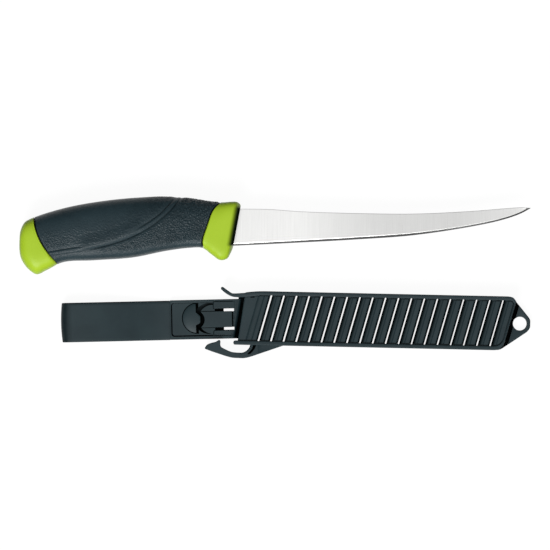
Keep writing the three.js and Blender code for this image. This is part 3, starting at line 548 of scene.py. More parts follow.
def box(x, y, z):
    return prism([(x[0], y[0]), (x[1], y[0]), (x[1], y[1]), (x[0], y[1])], z[0], z[1])


def joined(meshes):
    """Several closed meshes as one."""
    work = bmesh.new()
    for mesh in meshes:
        work.from_mesh(mesh)
    result = bpy.data.meshes.new("joined")
    work.to_mesh(result)
    work.free()
    return result


def added(name, data):
    """A new object in the scene."""
    made = bpy.data.objects.new(name, data)
    scene.collection.objects.link(made)
    return made


def combined(base, tools, operation):
    """A mesh with others added, cut away or kept in common."""
    things = [added("work", mesh) for mesh in (base, *tools)]
    for tool in things[1:]:
        modifier = things[0].modifiers.new("cut", "BOOLEAN")
        modifier.operation = operation
        modifier.solver = "MANIFOLD"
        modifier.object = tool
    graph = bpy.context.evaluated_depsgraph_get()
    result = bpy.data.meshes.new_from_object(things[0].evaluated_get(graph))
    result.materials.clear()
    for thing in things:
        bpy.data.objects.remove(thing)
    return result


def minus(base, *tools):
    return combined(base, tools, "DIFFERENCE")


def plus(base, *tools):
    return combined(base, tools, "UNION")


def common(base, *tools):
    return combined(base, tools, "INTERSECT")


def with_painted_shade(mesh, depth):
    """A mesh with painted shade at each point, kept as its depth attribute: 1 in recesses and 0 on open
    faces.
    """
    values = np.asarray(depth, np.float32).ravel()
    layer = mesh.attributes.get("depth") or mesh.attributes.new("depth", "FLOAT", "POINT")
    layer.data.foreach_set("value", values)
    return mesh


def evenly_painted_shade(mesh, depth):
    return with_painted_shade(mesh, np.full(len(mesh.vertices), depth))


def points_of(mesh):
    """A mesh's coordinates, as three rows."""
    return np.array([vertex.co for vertex in mesh.vertices]).T


def piece(name, mesh, place, materials, body, replaced=None, crease=38):
    """A finished piece, placed in metres and riding on a body."""
    mesh.transform(place)
    mesh.name = name
    mesh.shade_smooth()
    mesh.set_sharp_from_angle(angle=math.radians(crease))
    for material in materials:
        mesh.materials.append(material)
    made = added(name, mesh)
    if body:
        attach(made, body)
    if replaced:
        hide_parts(replaced)
    return made


# Finishes


def finish(name, **values):
    """A material with its constant values set on its shader."""
    material = bpy.data.materials.new(name)
    material.use_nodes = True
    for socket, value in values.items():
        shader_socket(material, socket).default_value = value
    return material


def shader_socket(material, name):
    return material.node_tree.nodes["Principled BSDF"].inputs[name.replace("_", " ")]


def into_shader(material, **sources):
    for socket, source in sources.items():
        material.node_tree.links.new(source, shader_socket(material, socket))


def node(owner, kind, links=None, values=None, **settings):
    """Outputs of a new node with its settings, values and links."""
    made = owner.node_tree.nodes.new("ShaderNode" + kind)
    for key, value in settings.items():
        setattr(made, key, value)
    for socket, value in (values or {}).items():
        made.inputs[socket].default_value = value
    for socket, source in (links or {}).items():
        owner.node_tree.links.new(source, made.inputs[socket])
    return made.outputs


def ramp(owner, source, stops):
    """Colour that runs through others at given places of a value."""
    made = owner.node_tree.nodes.new("ShaderNodeValToRGB")
    owner.node_tree.links.new(source, made.inputs["Fac"])
    elements = made.color_ramp.elements
    elements[0].position, elements[1].position = stops[0][0], stops[-1][0]
    for place, _ in stops[1:-1]:
        elements.new(place)
    for element, (_, colour) in zip(elements, stops):
        element.color = (*colour, 1)
    return made.outputs["Color"]


def grey_ramp(owner, source, levels):
    return ramp(owner, source, [(place, (level, level, level)) for place, level in levels])


def mottled(material, source, low, high, span=(0.3, 0.7)):
    """Colour between two tones, as a texture's value runs."""
    return ramp(material, source, [(span[0], low), (span[1], high)])


def spread(material, source, low, high):
    """Value between two limits, as a texture's value runs."""
    return node(material, "MapRange", {"Value": source}, {"To Min": low, "To Max": high})["Result"]


def place_texture(material, turn=0.0, scale=(1, 1, 1)):
    """Coordinates of the object, turned about Z and stretched."""
    where = node(material, "TexCoord")["Object"]
    values = {"Rotation": (0, 0, turn), "Scale": tuple(1 / s for s in scale)}
    return node(material, "Mapping", {"Vector": where}, values, vector_type="TEXTURE")["Vector"]


def texture(material, where, scale, detail, roughness=0.5):
    values = {"Scale": scale, "Detail": detail, "Roughness": roughness}
    return node(material, "TexNoise", {"Vector": where}, values)["Fac"]


def shaded(material, colour, specular, dark):
    """Colour and shine that fade to a painted shade colour as the depth attribute rises."""
    depth = node(material, "Attribute", attribute_name="depth")["Fac"]
    sunk = node(material, "Mix", {"Factor": depth, "A": colour}, {"B": (*dark, 1)}, data_type="RGBA")
    shader_socket(material, "Specular_IOR_Level").default_value = specular
    into_shader(material, Base_Color=sunk["Result"],
                Specular_IOR_Level=spread(material, depth, specular, 0.0))


def surfaced(material, height, bump, source, roughness, **settings):
    """Bump and roughness that follow textures."""
    values = dict(zip(("Strength", "Distance"), bump))
    normal = node(material, "Bump", {"Height": height}, values, **settings)["Normal"]
    into_shader(material, Normal=normal, Roughness=spread(material, source, *roughness))


def rubber_finish():
    material = finish("grip_rubber")
    where = place_texture(material)
    fine = texture(material, where, *RUBBER_GRAIN)
    both = node(material, "Math", {0: fine, 1: texture(material, where, *RUBBER_CLOUDS)}, operation="ADD")
    half = node(material, "Math", {0: both[0]}, {1: 0.5}, operation="MULTIPLY")
    colour = mottled(material, half[0], *RUBBER_TONES, RUBBER_SPAN)
    shaded(material, colour, RUBBER_SPECULAR, PAINTED_SHADE_COLOUR)
    pebbles = node(material, "TexVoronoi", {"Vector": where}, {"Scale": RUBBER_PEBBLES, "Randomness": 1})
    surfaced(material, pebbles["Distance"], RUBBER_BUMP, fine, RUBBER_ROUGHNESS, invert=True)
    return material


def plastic_finish(name, tones, dark, specular, clouds, grain, bump, roughness, streak=0.0):
    """Moulded plastic; a streaked one has fine flow lines along the slats."""
    material = finish(name)
    where = place_texture(material)
    shaded(material, mottled(material, texture(material, where, *clouds), *tones), specular, dark)
    fine = texture(material, where, *grain)
    height = fine
    if streak:
        along = place_texture(material, SHEATH_TILT - math.atan(SLIT_LEAN), STREAK_SCALE)
        lines = texture(material, along, 1, 3)
        height = node(material, "Math", {0: lines, 2: fine}, {1: streak}, operation="MULTIPLY_ADD")[0]
    surfaced(material, height, bump, fine, roughness)
    return material


def steel_finish(name, bright, dull, roughness, tones):
    """Ground steel with fine lines across the blade, and a reflection painted along its length."""
    material = finish(name, Metallic=1.0, Roughness=roughness)
    lines = texture(material, place_texture(material, 0, GRIND_SCALE), *GRIND)
    surfaced(material, lines, GRIND_BUMP, lines, (roughness - GRIND_SHEEN, roughness + GRIND_SHEEN))
    place = node(material, "SeparateXYZ", {"Vector": place_texture(material)})["X"]
    run = {"From Min": TONED_FROM, "From Max": TONED_TO}
    along = node(material, "MapRange", {"Value": place}, run)["Result"]
    both = {0: mottled(material, lines, dull, bright), 1: grey_ramp(material, along, tones)}
    into_shader(material, Base_Color=node(material, "VectorMath", both, operation="MULTIPLY")["Vector"])
    return material


# Knife

face_top, face_top_height, face_bottom, face_bottom_height = HANDLE_SECTIONS[-1][:4]
FACE_RAKE = HANDLE_LENGTH * (face_bottom - face_top) / (face_top_height - face_bottom_height)
TOP_RAIL = [(-row[0] * HANDLE_LENGTH, row[1], row[4] * HANDLE_THICK / 2) for row in HANDLE_SECTIONS]
BOTTOM_RAIL = [(-row[2] * HANDLE_LENGTH, row[3], 0) for row in HANDLE_SECTIONS]
SQUARENESS = [(k, row[5]) for k, row in enumerate(HANDLE_SECTIONS)]


def face_at(y):
    """Where the guard's face lies along the knife at a height."""
    return FACE_RAKE * (y - face_bottom_height) - face_bottom * HANDLE_LENGTH


def blade_section(height, run):
    """Half a section at a share of the length: ways down from the spine, half thicknesses."""
    half = (SPINE_THICK + (TIP_THICK - SPINE_THICK) * run) / 2
    honed = np.interp(run, *zip(*HONED_HEIGHTS))
    shoulder = min(honed + FACET_HEIGHT, height * SHOULDER_LIMIT)
    honed = min(honed, shoulder * HONED_LIMIT)
    half_shoulder = min(SHOULDER_THICK / 2, half * THICK_LIMIT)
    ease = min(SPINE_ROUND, height * ROUND_LIMIT)
    flat = np.linspace(ease, height - shoulder - SHOULDER_STRIP, FLAT_STEPS)[1:]
    flat = np.append(flat, height - shoulder)
    taper = (flat - ease) / (height - shoulder - ease)
    corner = ease * ROUND_CORNER
    return [(0, half - ease), (corner, half - corner), (ease, half),
            *zip(flat, half + (half_shoulder - half) * taper),
            (height - honed, half_shoulder * FACET_TAPER), (height, EDGE_HALF)]


def blade_mesh():
    _, heel_top, heel_bottom = BLADE_OUTLINE[0]
    outline = [(-HEEL_DEPTH / BLADE_LENGTH, heel_top, heel_bottom), *BLADE_OUTLINE]

    def rail(column):
        return [(row[0] * BLADE_LENGTH + face_at(row[column]) * (1 - max(row[0], 0)), row[column])
                for row in outline]

    shares = np.linspace(0, 1, BLADE_STEPS + 1)
    rings = []
    for top, bottom in zip(spline(rail(1), shares), spline(rail(2), shares)):
        height = np.linalg.norm(top - bottom)
        way = (bottom - top) / height
        section = blade_section(height, max(top[0], 0) / BLADE_LENGTH)
        front = [(*(top + way * along), z) for along, z in section]
        back = [(x, y, -z) for x, y, z in reversed(front)]
        rings.append(front + back)
    mesh = skin(rings)
    edge = len(section)
    honed = np.zeros((BLADE_STEPS, 2 * edge), np.int32)
    honed[:, edge - 2:edge + 1] = 1
    mesh.polygons.foreach_set("material_index", np.append(honed, [0, 0]))
    return mesh


def handle_points(share, angle, inset=0.0):
    """The handle's surface at shares along it and angles round it, moved in by an inset."""
    top = spline(TOP_RAIL, share)
    bottom = spline(BOTTOM_RAIL, share)
    reach = (top[:, :2] - bottom[:, :2]) / 2
    middle = bottom[:, :2] + reach
    length = np.linalg.norm(reach, axis=1)
    power = 2 / spline(SQUARENESS, share)[:, 1]
    across = squared(np.cos(angle), power)
    crown = CROWN_SHIFT * smoothstep(*CROWN_BACK, share) * smoothstep(*CROWN_FRONT, share)
    across = across - crown * (1 - across**2)
    flat = middle + reach * ((length - inset) / length * across)[:, None]
    return np.column_stack([flat, (top[:, 2] - inset) * squared(np.sin(angle), power)])


def handle_surface(share, angle, inset):
    """The same over a grid of shares, angles and insets."""
    return handle_points(share.ravel(), angle.ravel(), inset.ravel()).reshape(*share.shape, 3)


def ring_angles(count):
    """Angles round the handle at which points lie evenly."""
    fine = np.linspace(0, 2 * math.pi, 4001)
    power = 2 / np.mean(SQUARENESS, axis=0)[1]
    height, width = squared(np.cos(fine), power), squared(np.sin(fine), power)
    run = np.concatenate([[0], np.cumsum(np.hypot(np.diff(height) * HEIGHT_OVER_WIDTH, np.diff(width)))])
    return np.interp(np.linspace(0, run[-1], count + 1)[:-1], run, fine)


def pommel_seam(y):
    """Side view of the seam before the pommel."""
    curve = np.array([*bend(*POMMEL_SEAM, 40), *POMMEL_SEAM_END])
    return -HANDLE_LENGTH + POMMEL_CAP + np.interp(-y, -curve[:, 1], curve[:, 0])


def guard_seam(y):
    """Side view of the seam behind the guard."""
    curve = np.array(smooth(GUARD_SEAM, 12))
    return -GUARD_DEPTH + np.interp(y, curve[:, 1], curve[:, 0])


def seam_shares(seam, angles, offset):
    """Shares along the handle where its surface crosses a seam moved by an offset."""
    shares = np.linspace(*SEAM_SEARCH)
    found = []
    for angle in angles:
        x, y, _ = handle_points(shares, np.full(len(shares), angle)).T
        ahead = x - seam(y) - offset
        k = int(np.argmax(ahead > 0))
        part = ahead[k - 1] / (ahead[k - 1] - ahead[k])
        found.append(shares[k - 1] + part * (shares[k] - shares[k - 1]))
    return np.array(found)


def handle_grid(starts, ends, angles, rows):
    """Grid of shares and angles between two seams, its points and their way along."""
    part = np.linspace(0, 1, rows)[:, None]
    share = starts + (ends - starts) * part
    angle = np.broadcast_to(angles, share.shape)
    points = handle_surface(share, angle, np.zeros(share.shape))
    steps = np.linalg.norm(np.diff(points, axis=0), axis=2)
    run = np.vstack([np.zeros(len(angles)), np.cumsum(steps, axis=0)])
    return share, angle, points, run


def rounded_edge(run):
    """How far a surface dips at a way from a seam."""
    gone = np.clip(1 - run / SEAM_ROUND, 0, 1)
    return SEAM_ROUND * (1 - np.sqrt(np.maximum(1 - gone**2, 0)))


def crease_distance(points, crease):
    """Way from points to a crease in side view, positive above it."""
    curve = np.array(smooth(crease, 10))
    height = np.interp(points[..., 0], curve[:, 0], curve[:, 1])
    slope = np.interp(points[..., 0], curve[:, 0], np.gradient(curve[:, 1], curve[:, 0]))
    return (points[..., 1] - height) / np.sqrt(1 + slope**2)


def pebble_heights(points):
    """Rounded grains, from 0 between them to 1 on their tops."""
    heights = np.empty(points.shape[:2])
    for row in range(points.shape[0]):
        for column in range(points.shape[1]):
            x, y, z = points[row, column] / PEBBLE_SIZE
            near = noise.voronoi((x, y, z))[0]
            heights[row, column] = min(near[1] - near[0], PEBBLE_FLANK) / PEBBLE_FLANK
    return heights


def deepening(shallow, span, along):
    """A crease's share of its depth, from a shallow start to the whole."""
    return shallow + (1 - shallow) * smoothstep(*span, along)


def grip_relief(points, from_seam):
    """How far the rubber's points move in for its relief, and their painted shade."""
    along, height, _ = np.moveaxis(points, -1, 0)
    upper = crease_distance(points, UPPER_CREASE)
    lower = crease_distance(points, LOWER_CREASE)
    faded = smoothstep(*CREASES_FROM, along) * (1 - CREASES_FADE * smoothstep(*CREASES_TOP, height))
    swell = smoothstep(*SWELL_BACK, along) * smoothstep(*SWELL_FRONT, along)
    upper_line = (1 - swell) * deepening(0.5, UPPER_DEEPENS, along) * bell(upper, CREASE_WIDTH)
    lower_line = deepening(0.25, LOWER_DEEPENS, along) * bell(lower, CREASE_WIDTH)
    creases = faded * np.minimum(UPPER_STRENGTH * upper_line + lower_line, 1)
    band = BAND_RISE * smoothstep(0, BAND_EDGE, lower) * smoothstep(0, BAND_EDGE, -upper)
    ridge = RIDGE_RISE * smoothstep(0, RIDGE_TOP, lower) * smoothstep(RIDGE_END, RIDGE_TOP, lower)
    raised = faded * (band + (ridge - band) * swell)
    over_bottom = height - np.interp(along, *np.array(BOTTOM_RAIL)[:, :2].T)
    pebbled = (smoothstep(*PEBBLED_UNDER, -lower) * smoothstep(*PEBBLED_FROM, along)
               * smoothstep(*PEBBLED_OVER, over_bottom))
    speckled = SPECKLE * smoothstep(*SPECKLE_FROM, upper) * (1 - smoothstep(*SPECKLE_TO, upper))
    grain = (pebbled + speckled) * smoothstep(*GRAIN_EDGE, from_seam)
    tops = pebble_heights(points)
    inset = CREASE_DEPTH * creases - raised + PEBBLE_SINK - PEBBLE_RISE * tops * grain
    # painted shade: in the creases, between the grains and beside the seams
    shades = [CREASE_PAINTED_SHADE * creases, PEBBLE_PAINTED_SHADE * grain * (1 - tops),
              SEAM_PAINTED_SHADE * smoothstep(*SEAM_SHADE, from_seam)]
    return inset, np.maximum.reduce(shades)


def grip_mesh(columns=300, rows=330, lining_rows=14):
    angles = ring_angles(columns)
    starts = seam_shares(pommel_seam, angles, SEAM_GAP)
    ends = seam_shares(guard_seam, angles, -SEAM_GAP)
    share, angle, points, run = handle_grid(starts, ends, angles, rows)
    from_seam = np.minimum(run, run[-1] - run)
    inset, depth = grip_relief(points, from_seam)
    outer = handle_surface(share, angle, rounded_edge(from_seam) + inset)
    lining = []
    for part in np.linspace(1, 0, lining_rows):
        lining.append(handle_points(starts + (ends - starts) * part, angles, GRIP_WALL))
    sleeve = skin(np.concatenate([outer, lining]), loop=True)
    # the lining inside takes full painted shade
    return with_painted_shade(sleeve, np.concatenate([depth, np.ones((lining_rows, columns))]))


def core_mesh(columns=220, pommel_rows=70, inner_rows=12, guard_rows=110):
    angles = ring_angles(columns)
    back = seam_shares(pommel_seam, angles, 0)
    front = seam_shares(guard_seam, angles, 0)

    first = handle_points(np.zeros(columns), angles)
    centre = first.mean(0)
    bulge = np.array([CAP_BULGE, 0, 0])
    cap = [centre + (first - centre) * scale - bulge * (1 - scale**2) for scale in CAP_RINGS]

    share, angle, _, run = handle_grid(np.zeros(columns), back, angles, pommel_rows)
    from_seam = run[-1] - run
    inset = rounded_edge(from_seam) + RIM_DEPTH * bell(from_seam - RIM_PLACE, RIM_SPREAD)
    pommel = handle_surface(share, angle, inset)

    parts = np.linspace(0, 1, inner_rows)
    inner = [handle_points(back + (front - back) * part, angles, CORE_INSET) for part in parts]

    share, angle, _, run = handle_grid(front, np.ones(columns), angles, guard_rows)
    guard = handle_surface(share, angle, rounded_edge(run))
    sunk = guard[-1] * np.array([1, 1, SOCKET_WIDTH]) - np.array([SOCKET_DEPTH, 0, 0])

    rings = np.concatenate([cap, pommel, inner, guard, sunk[None]])
    x, y, _ = rings.reshape(-1, 3).T
    # painted shade on the guard's face round the blade
    depth = smoothstep(*FACE_SHADE, x - face_at(y)) * smoothstep(*FACE_TOP, y) * smoothstep(*FACE_BOTTOM, y)
    return with_painted_shade(skin(rings), depth)


# Sheath


def mouth_at(v):
    return MOUTH_OFFSET + v * MOUTH_LEAN


def pocket_end_at(v):
    return MOUTH_OFFSET + POCKET_LENGTH + v * SLIT_LEAN


def slit_at(number):
    share = number / (SLIT_COUNT - 1)
    return FIRST_SLIT + (LAST_SLIT - FIRST_SLIT) * (share - SLIT_CROWDING * share * (1 - share))


def flank_meets(edge, angle):
    """Where a flank, tangent to the flange's nose, meets a long edge."""
    x = EYE[0] + NOSE_RADIUS * math.cos(angle)
    y = EYE[1] + NOSE_RADIUS * math.sin(angle)
    return x - (edge - y) / math.cos(angle) * math.sin(angle)


def ended_outline(start, half, wall):
    """Outline with a leaning, round-cornered end; its upper side dips at the mouth."""
    def end(v):
        return pocket_end_at(v) + wall

    low, high = LOWER_CORNER - half, half - UPPER_CORNER
    dip = half - MOUTH_DIP
    dip_start, dip_middle = MOUTH_OFFSET + DIP_LENGTH, MOUTH_OFFSET + DIP_LENGTH / 2
    lower = bend((end(-half) - LOWER_CORNER, -half), (end(-half), -half), (end(low), low))
    upper = bend((end(high), high), (end(half), half), (end(half) - UPPER_CORNER, half))
    return ([(start(-half), -half)] + lower + upper
            + bend((dip_start, half), (dip_middle, half), (mouth_at(half), dip)) + [(start(half), dip)])


def flange_outline(start, edge):
    """Outline from a leaning start to the round nose about the eye."""
    lean = BODY_HALF * SLIT_LEAN

    def corner(side, flank, reach):
        meets = (flank_meets(side * edge, flank), side * edge)
        back, on = reach
        down = (meets[0] + on * side * math.sin(flank), meets[1] - on * side * math.cos(flank))
        return bend((meets[0] - back, meets[1]), meets, down)

    nose = [(min(u, EYE[0] + NOSE_FLAT), v) for u, v in arc(EYE, NOSE_RADIUS, LOWER_FLANK, UPPER_FLANK, 28)]
    below, above = FLANGE_CORNERS
    upper = corner(1, UPPER_FLANK, above)[::-1]
    inner = POCKET_HALF + 0.3
    back = min(start + lean, upper[-1][0] - 1.2)
    return ([(start - lean, -edge)] + corner(-1, LOWER_FLANK, below) + nose + upper
            + [(back, edge), (back, inner), (start + inner * SLIT_LEAN, inner)])


def leaning_box(place, half, low, high):
    """Cutter for a slit through the back wall."""
    reach = POCKET_HALF
    lean = SLIT_LEAN * reach
    return prism([(place - half - lean, -reach), (place + half - lean, -reach),
                  (place + half + lean, reach), (place - half + lean, reach)], low, high)


def pocket_outline():
    """The pocket's outline, run out well before the mouth."""
    return ended_outline(lambda v: FAR_BEFORE, POCKET_HALF, 0)


def slat(section_at):
    """A bar across the front, from its section at each station across."""
    far, near = POCKET_HALF + SLAT_OVERLAP, POCKET_HALF - GUTTER_WIDTH
    middle = np.linspace(GUTTER_SLOPE - near, near - GUTTER_SLOPE, SLAT_STATIONS)
    across = np.array([-far, -near, *middle, near, far])
    sections = np.array([section_at(v) for v in across])
    ends = [0, 1, -2, -1]
    # painted shade along the gutters at the slats' ends
    sections[ends, :, 2] = np.maximum(sections[ends, :, 2], GUTTER_PAINTED_SHADE)
    rings = np.stack([sections[..., 0], np.broadcast_to(across[:, None], sections.shape[:2]),
                      FRONT_FACE + sections[..., 1]], -1)
    return with_painted_shade(skin(rings), sections[..., 2])


def placed(place, section, side=1):
    """A section's points on one side of a place."""
    return [(place + side * way, height, depth) for way, height, depth in section]


def slats():
    def slit(number, v):
        return slit_at(number) + v * SLIT_LEAN

    def land(v):
        return (placed(mouth_at(v), LAND_LEFT) + placed(slit(-1, v), LAND_LINES)
                + placed(slit(0, v), SLAT_RIGHT, -1))

    def last(v):
        end = pocket_end_at(v)
        gutter = end - GUTTER_WIDTH
        # painted shade in the gutter at the pocket's end
        tail = [(gutter - GUTTER_SLOPE, 0, 0), (gutter, 0, 1), (end + 2, 0, 1)]
        return placed(slit(SLIT_COUNT - 1, v), SLAT_LEFT) + tail + [(end + 2, CAVITY_TOP - FRONT_FACE, 1)]

    notch = box(*LAND_NOTCH, (FRONT_FACE - NOTCH_DEPTH, FRONT_FACE + 1))
    rim = tidied(pocket_outline())
    pocket = prism(moved_in(rim, -SLAT_OVERLAP), 5, 15)
    low = FRONT_FACE - GUTTER_DEPTH
    gutter = minus(prism(moved_in(rim, -2 * SLAT_OVERLAP), low, 13),
                   prism(moved_in(rim, GUTTER_WIDTH), low - 1, 14))
    # the notch and the cut at the pocket's end take full painted shade
    bars = [minus(slat(land), evenly_painted_shade(notch, 1)), common(slat(last), evenly_painted_shade(pocket, 1))]
    for number in range(SLIT_COUNT - 1):
        bars.append(slat(lambda v: placed(slit(number, v), SLAT_LEFT)
                         + placed(slit(number + 1, v), SLAT_RIGHT, -1)))
    return minus(joined(bars), evenly_painted_shade(gutter, GUTTER_PAINTED_SHADE))


def tray():
    """Back wall, rails and end wall of the pocket."""
    outer = prism(ended_outline(mouth_at, BODY_HALF, END_WALL), 0, RAIL_FACE, 0.35, 0.6)
    block = common(outer, prism(flange_outline(FAR_BEFORE, BODY_HALF + 0.1), -1, RAIL_FACE + 1))
    pocket = pit(pocket_outline(), BACK_WALL, RAIL_FACE, 0.4)
    slits = joined([leaning_box(slit_at(n), SLIT_HALF, -1, BACK_WALL + 1) for n in range(SLIT_COUNT)])
    return minus(block, pocket, slits)


def end_flange():
    plate = prism(flange_outline(LAST_SLIT + 0.9, BODY_HALF - 0.05), 0, FLANGE_THICK, 0.3, 0.5)
    eye = arc(EYE, EYE_RADIUS, 0, 2 * math.pi, 48)
    foot = [(pocket_end_at(v) + END_WALL, v) for v in (-16, 16)]
    groove = [(u - END_WALL / 2, v) for u, v in foot] + [(u + FOOT_GROOVE, v) for u, v in foot[::-1]]
    return minus(plate, pit(eye, -1, FLANGE_THICK, 0.4), prism(groove, FLANGE_THICK - GROOVE_DEPTH, 6))


def rail_end():
    """Lower rail's end before the mouth."""
    start = mouth_at(-BODY_HALF) - RAIL_REACH
    outline = rounded(start, start + RAIL_LENGTH, -BODY_HALF, -POCKET_HALF, RAIL_ROUND)
    return prism(outline, 0, RAIL_FACE, 0.35, 0.5)


def apron():
    """Back wall before the mouth, beside the neck."""
    top = POCKET_HALF - MOUTH_DIP + 0.4
    return prism(rounded(APRON_EDGE, 9, 8, top, 0.3), 0, BACK_WALL, 0.2, 0.2)


def mouth_lip():
    """Thin flared lip that guides the spine into the mouth."""
    outline = smooth(LIP_UPPER) + arc(*LIP_END) + smooth(LIP_LOWER)
    return prism(outline, BACK_WALL, RAIL_FACE - 0.1, 0.3, 0.4)


def hook_root():
    """Ring that carries the hook's arm, and its stiffening web."""
    edge = -BODY_HALF + ROOT_OVERLAP
    ring = smooth(ROOT_UNDER) + [(ROOT_END, edge), (ROOT_THROAT[0][0], edge)] + smooth(ROOT_THROAT)
    web_end = ROOT_OFFSET + WEB_LENGTH
    web = [(ROOT_OFFSET + 4, ARM_UNDER + 1.6), (ROOT_OFFSET + 8, ARM_UNDER + 2.25),
           (web_end, -BODY_HALF - 0.1), (web_end, edge), (ROOT_OFFSET + 4, edge)]
    left, right = ROOT_GROOVE
    groove = prism(smooth(left) + smooth(right), ROOT_GROOVE_FLOOR, 12)
    arm = prism(ring, HOOK_LOW, HOOK_HIGH, 0.3, 0.7)
    stiffener = prism(web, HOOK_LOW + WEB_INSET, HOOK_HIGH - WEB_INSET, 0.2, 0.3)
    return minus(arm, groove), minus(stiffener, groove)


def hook_arm():
    """Sprung arm with its barb; it runs on into the ring, where it bends."""
    outline = smooth(ARM_TOP) + smooth(BARB, 5) + smooth(ARM_BOTTOM)
    return evenly_painted_shade(prism(outline, HOOK_LOW + ARM_INSET, HOOK_HIGH - ARM_INSET, 0.25, 0.3), 0)


def about_tongue(half):
    """Span across the strap on both sides of the tongue's middle."""
    return (-TONGUE_DROP - half, -TONGUE_DROP + half)


def disc(centre, radius, low, high):
    return prism(arc(centre, radius, 0, 2 * math.pi, 96), low, high)


def latch_window():
    """Cutter for the stud's opening and the crescent well round the island."""
    low, high = THROUGH
    half = minus(disc(STUD, STUD_RADIUS + STUD_GAP, low, high),
                 box((STUD_EDGE + STUD_PLAY, 0), ACROSS, (low - 1, high + 1)))
    return minus(plus(half, disc(WELL, WELL_RADIUS, low, high)),
                 disc(ISLAND, ISLAND_RADIUS, low - 1, high + 1))


def mouth_ramp():
    """Cutter that rounds the neck's plate down into the pocket."""
    reach = mouth_at(0) + 5
    side = smooth(RAMP, 4) + [(reach, 1.0), (reach, 6), (SLOT_TO, 6)]
    return skin([[(u + v * RAMP_LEAN, v, z) for u, z in side] for v in ACROSS])


def panel_cuts():
    """Cutters for the sunk panel and the fine groove along its border."""
    left, right, bottom, top = PANEL_EDGES
    panel = pit(rounded(*PANEL_EDGES, 1.4), PANEL_FACE, RIM_FACE, 0.15)
    outer = rounded(left - 0.15, right + 6, bottom - 0.15, top, 1.5)
    inner = rounded(left + 0.5, right + 9, bottom + 0.5, top - 0.15, 1.2)
    border = minus(prism(outer, PANEL_FACE - 0.8, 5), prism(inner, 0, 6),
                   box((SLOT_FROM - 1, 12), ACROSS, (0, 6)))
    return [panel, border]


def tongue_cuts():
    """Cutters for the tongue's hole, the strap's tail and the slots."""
    tail_half = TAIL_HALF + LATCH_GAP
    hole = box((ISLAND[0] - ISLAND_RADIUS - LATCH_GAP, HINGE_GROOVE[1]),
               about_tongue(TONGUE_HALF + LATCH_GAP), THROUGH)
    tail = box((-NECK_LENGTH - 1, -TAIL_END + 2), (-tail_half, tail_half), (NECK_FLOOR, PLATE_BOTTOM))
    below = box((SLOT_FROM - 2, SLOT_TO), (-SLOT_FAR - 0.5, SLOT_FAR + 0.5), (-1, PLATE_BOTTOM))
    spans = ((-TONGUE_DROP + TONGUE_HALF - 0.1, -TONGUE_DROP + SLOT_FAR),
             (-TONGUE_DROP - SLOT_FAR, -TONGUE_DROP - TONGUE_HALF + 0.1))
    return [hole, tail, below, *(box((SLOT_FROM, SLOT_TO), span, THROUGH) for span in spans)]


def neck():
    """Plate that takes the strap's tail, with its panel, window, slots and steps."""
    ends = (-NECK_LENGTH, mouth_at(0) + 3)
    plate = prism(rounded(*ends, -STRAP_HALF - 0.2, STRAP_HALF + 0.25, 0.3), 0, RIM_FACE, 0.2, 0.25)
    spans = ((SLOT_FAR - TONGUE_DROP + 0.1, STRAP_HALF - RIM_WIDTH + 0.3),
             (-STRAP_HALF + RIM_WIDTH + 0.5, -SLOT_FAR - TONGUE_DROP - 0.3))
    steps, moats = [], []
    for low, high in spans:
        step = rounded(SLOT_FROM - 0.6, SLOT_TO + 0.6, low, high, 0.6)
        moat = rounded(SLOT_FROM - 0.95, SLOT_TO, low - 0.3, high + 0.3, 0.9)
        steps.append(prism(step, PANEL_FACE - 0.7, STEP_FACE, 0, 0.2))
        moats.append(prism(moat, PANEL_FACE - 0.6, 6))
    cut = minus(plate, *panel_cuts(), latch_window(), *tongue_cuts(), *moats)
    return minus(plus(cut, *steps), mouth_ramp())


def inside(value, low, high):
    return (value > low) & (value < high)


def shell_painted_shade(mesh):
    """Painted shade for points inside the outer walls, by their depth under the open face."""
    u, v, z = points_of(mesh)
    turn = -STRAP_TURN
    strap_v = u * math.sin(turn) + (v + STRAP_DROP) * math.cos(turn)
    mouth, end = mouth_at(v), pocket_end_at(v) + END_WALL
    level = np.full(len(u), -1.0)
    level[inside(u, mouth, end - 0.1) & (abs(v) < BODY_HALF - 0.6)] = FRONT_FACE
    level[inside(u, end - 0.1, end + FOOT_GROOVE + 0.05)] = FLANGE_THICK
    level[inside(u, -NECK_LENGTH + 0.25, 0) & (abs(strap_v) < STRAP_HALF - 0.5)] = PANEL_FACE
    on_ramp = inside(u, RAMP_FROM, mouth + 0.1)
    level[on_ramp & (abs(v) < POCKET_HALF)] = PANEL_FACE
    level[inside(u, 6, 11) & inside(v, -19.6, -BODY_HALF - 0.02)] = HOOK_HIGH - WEB_INSET - 0.2
    # the ramp under the mouth takes the deeper painted shadow
    full = np.where(on_ramp, RAMP_SHADE, SHELL_SHADE)
    return smoothstep(SHADE_STARTS, full, level - z) * (z > UNDERSIDE)


def sheath_shell():
    ring, web = hook_root()
    turned = neck()
    turned.transform(STRAP_IN_SHEATH)
    shell = plus(tray(), end_flange(), rail_end(), apron(), mouth_lip(), ring, web, turned)
    return with_painted_shade(shell, shell_painted_shade(shell))


def tongue_mesh():
    """Sprung tab, with a thin web that bends."""
    back, front = HINGE_GROOVE
    bottom, top = about_tongue(TONGUE_HALF)
    tip = bend((TONGUE_TIP, top), (TONGUE_TIP + 2 * TONGUE_BITE, -TONGUE_DROP), (TONGUE_TIP, bottom))
    tab = prism([(back, bottom), (back, top), *tip], PLATE_BOTTOM, PANEL_FACE, 0.1, 0.15)
    web = box((back - 0.6, front + 0.6), about_tongue(TONGUE_HALF - 0.05),
              (PLATE_BOTTOM + 0.02, PLATE_BOTTOM + 0.22))
    tongue = plus(tab, web)
    # painted shade on the tongue's underside and its web
    return with_painted_shade(tongue, points_of(tongue)[2] < PLATE_BOTTOM + 0.3)


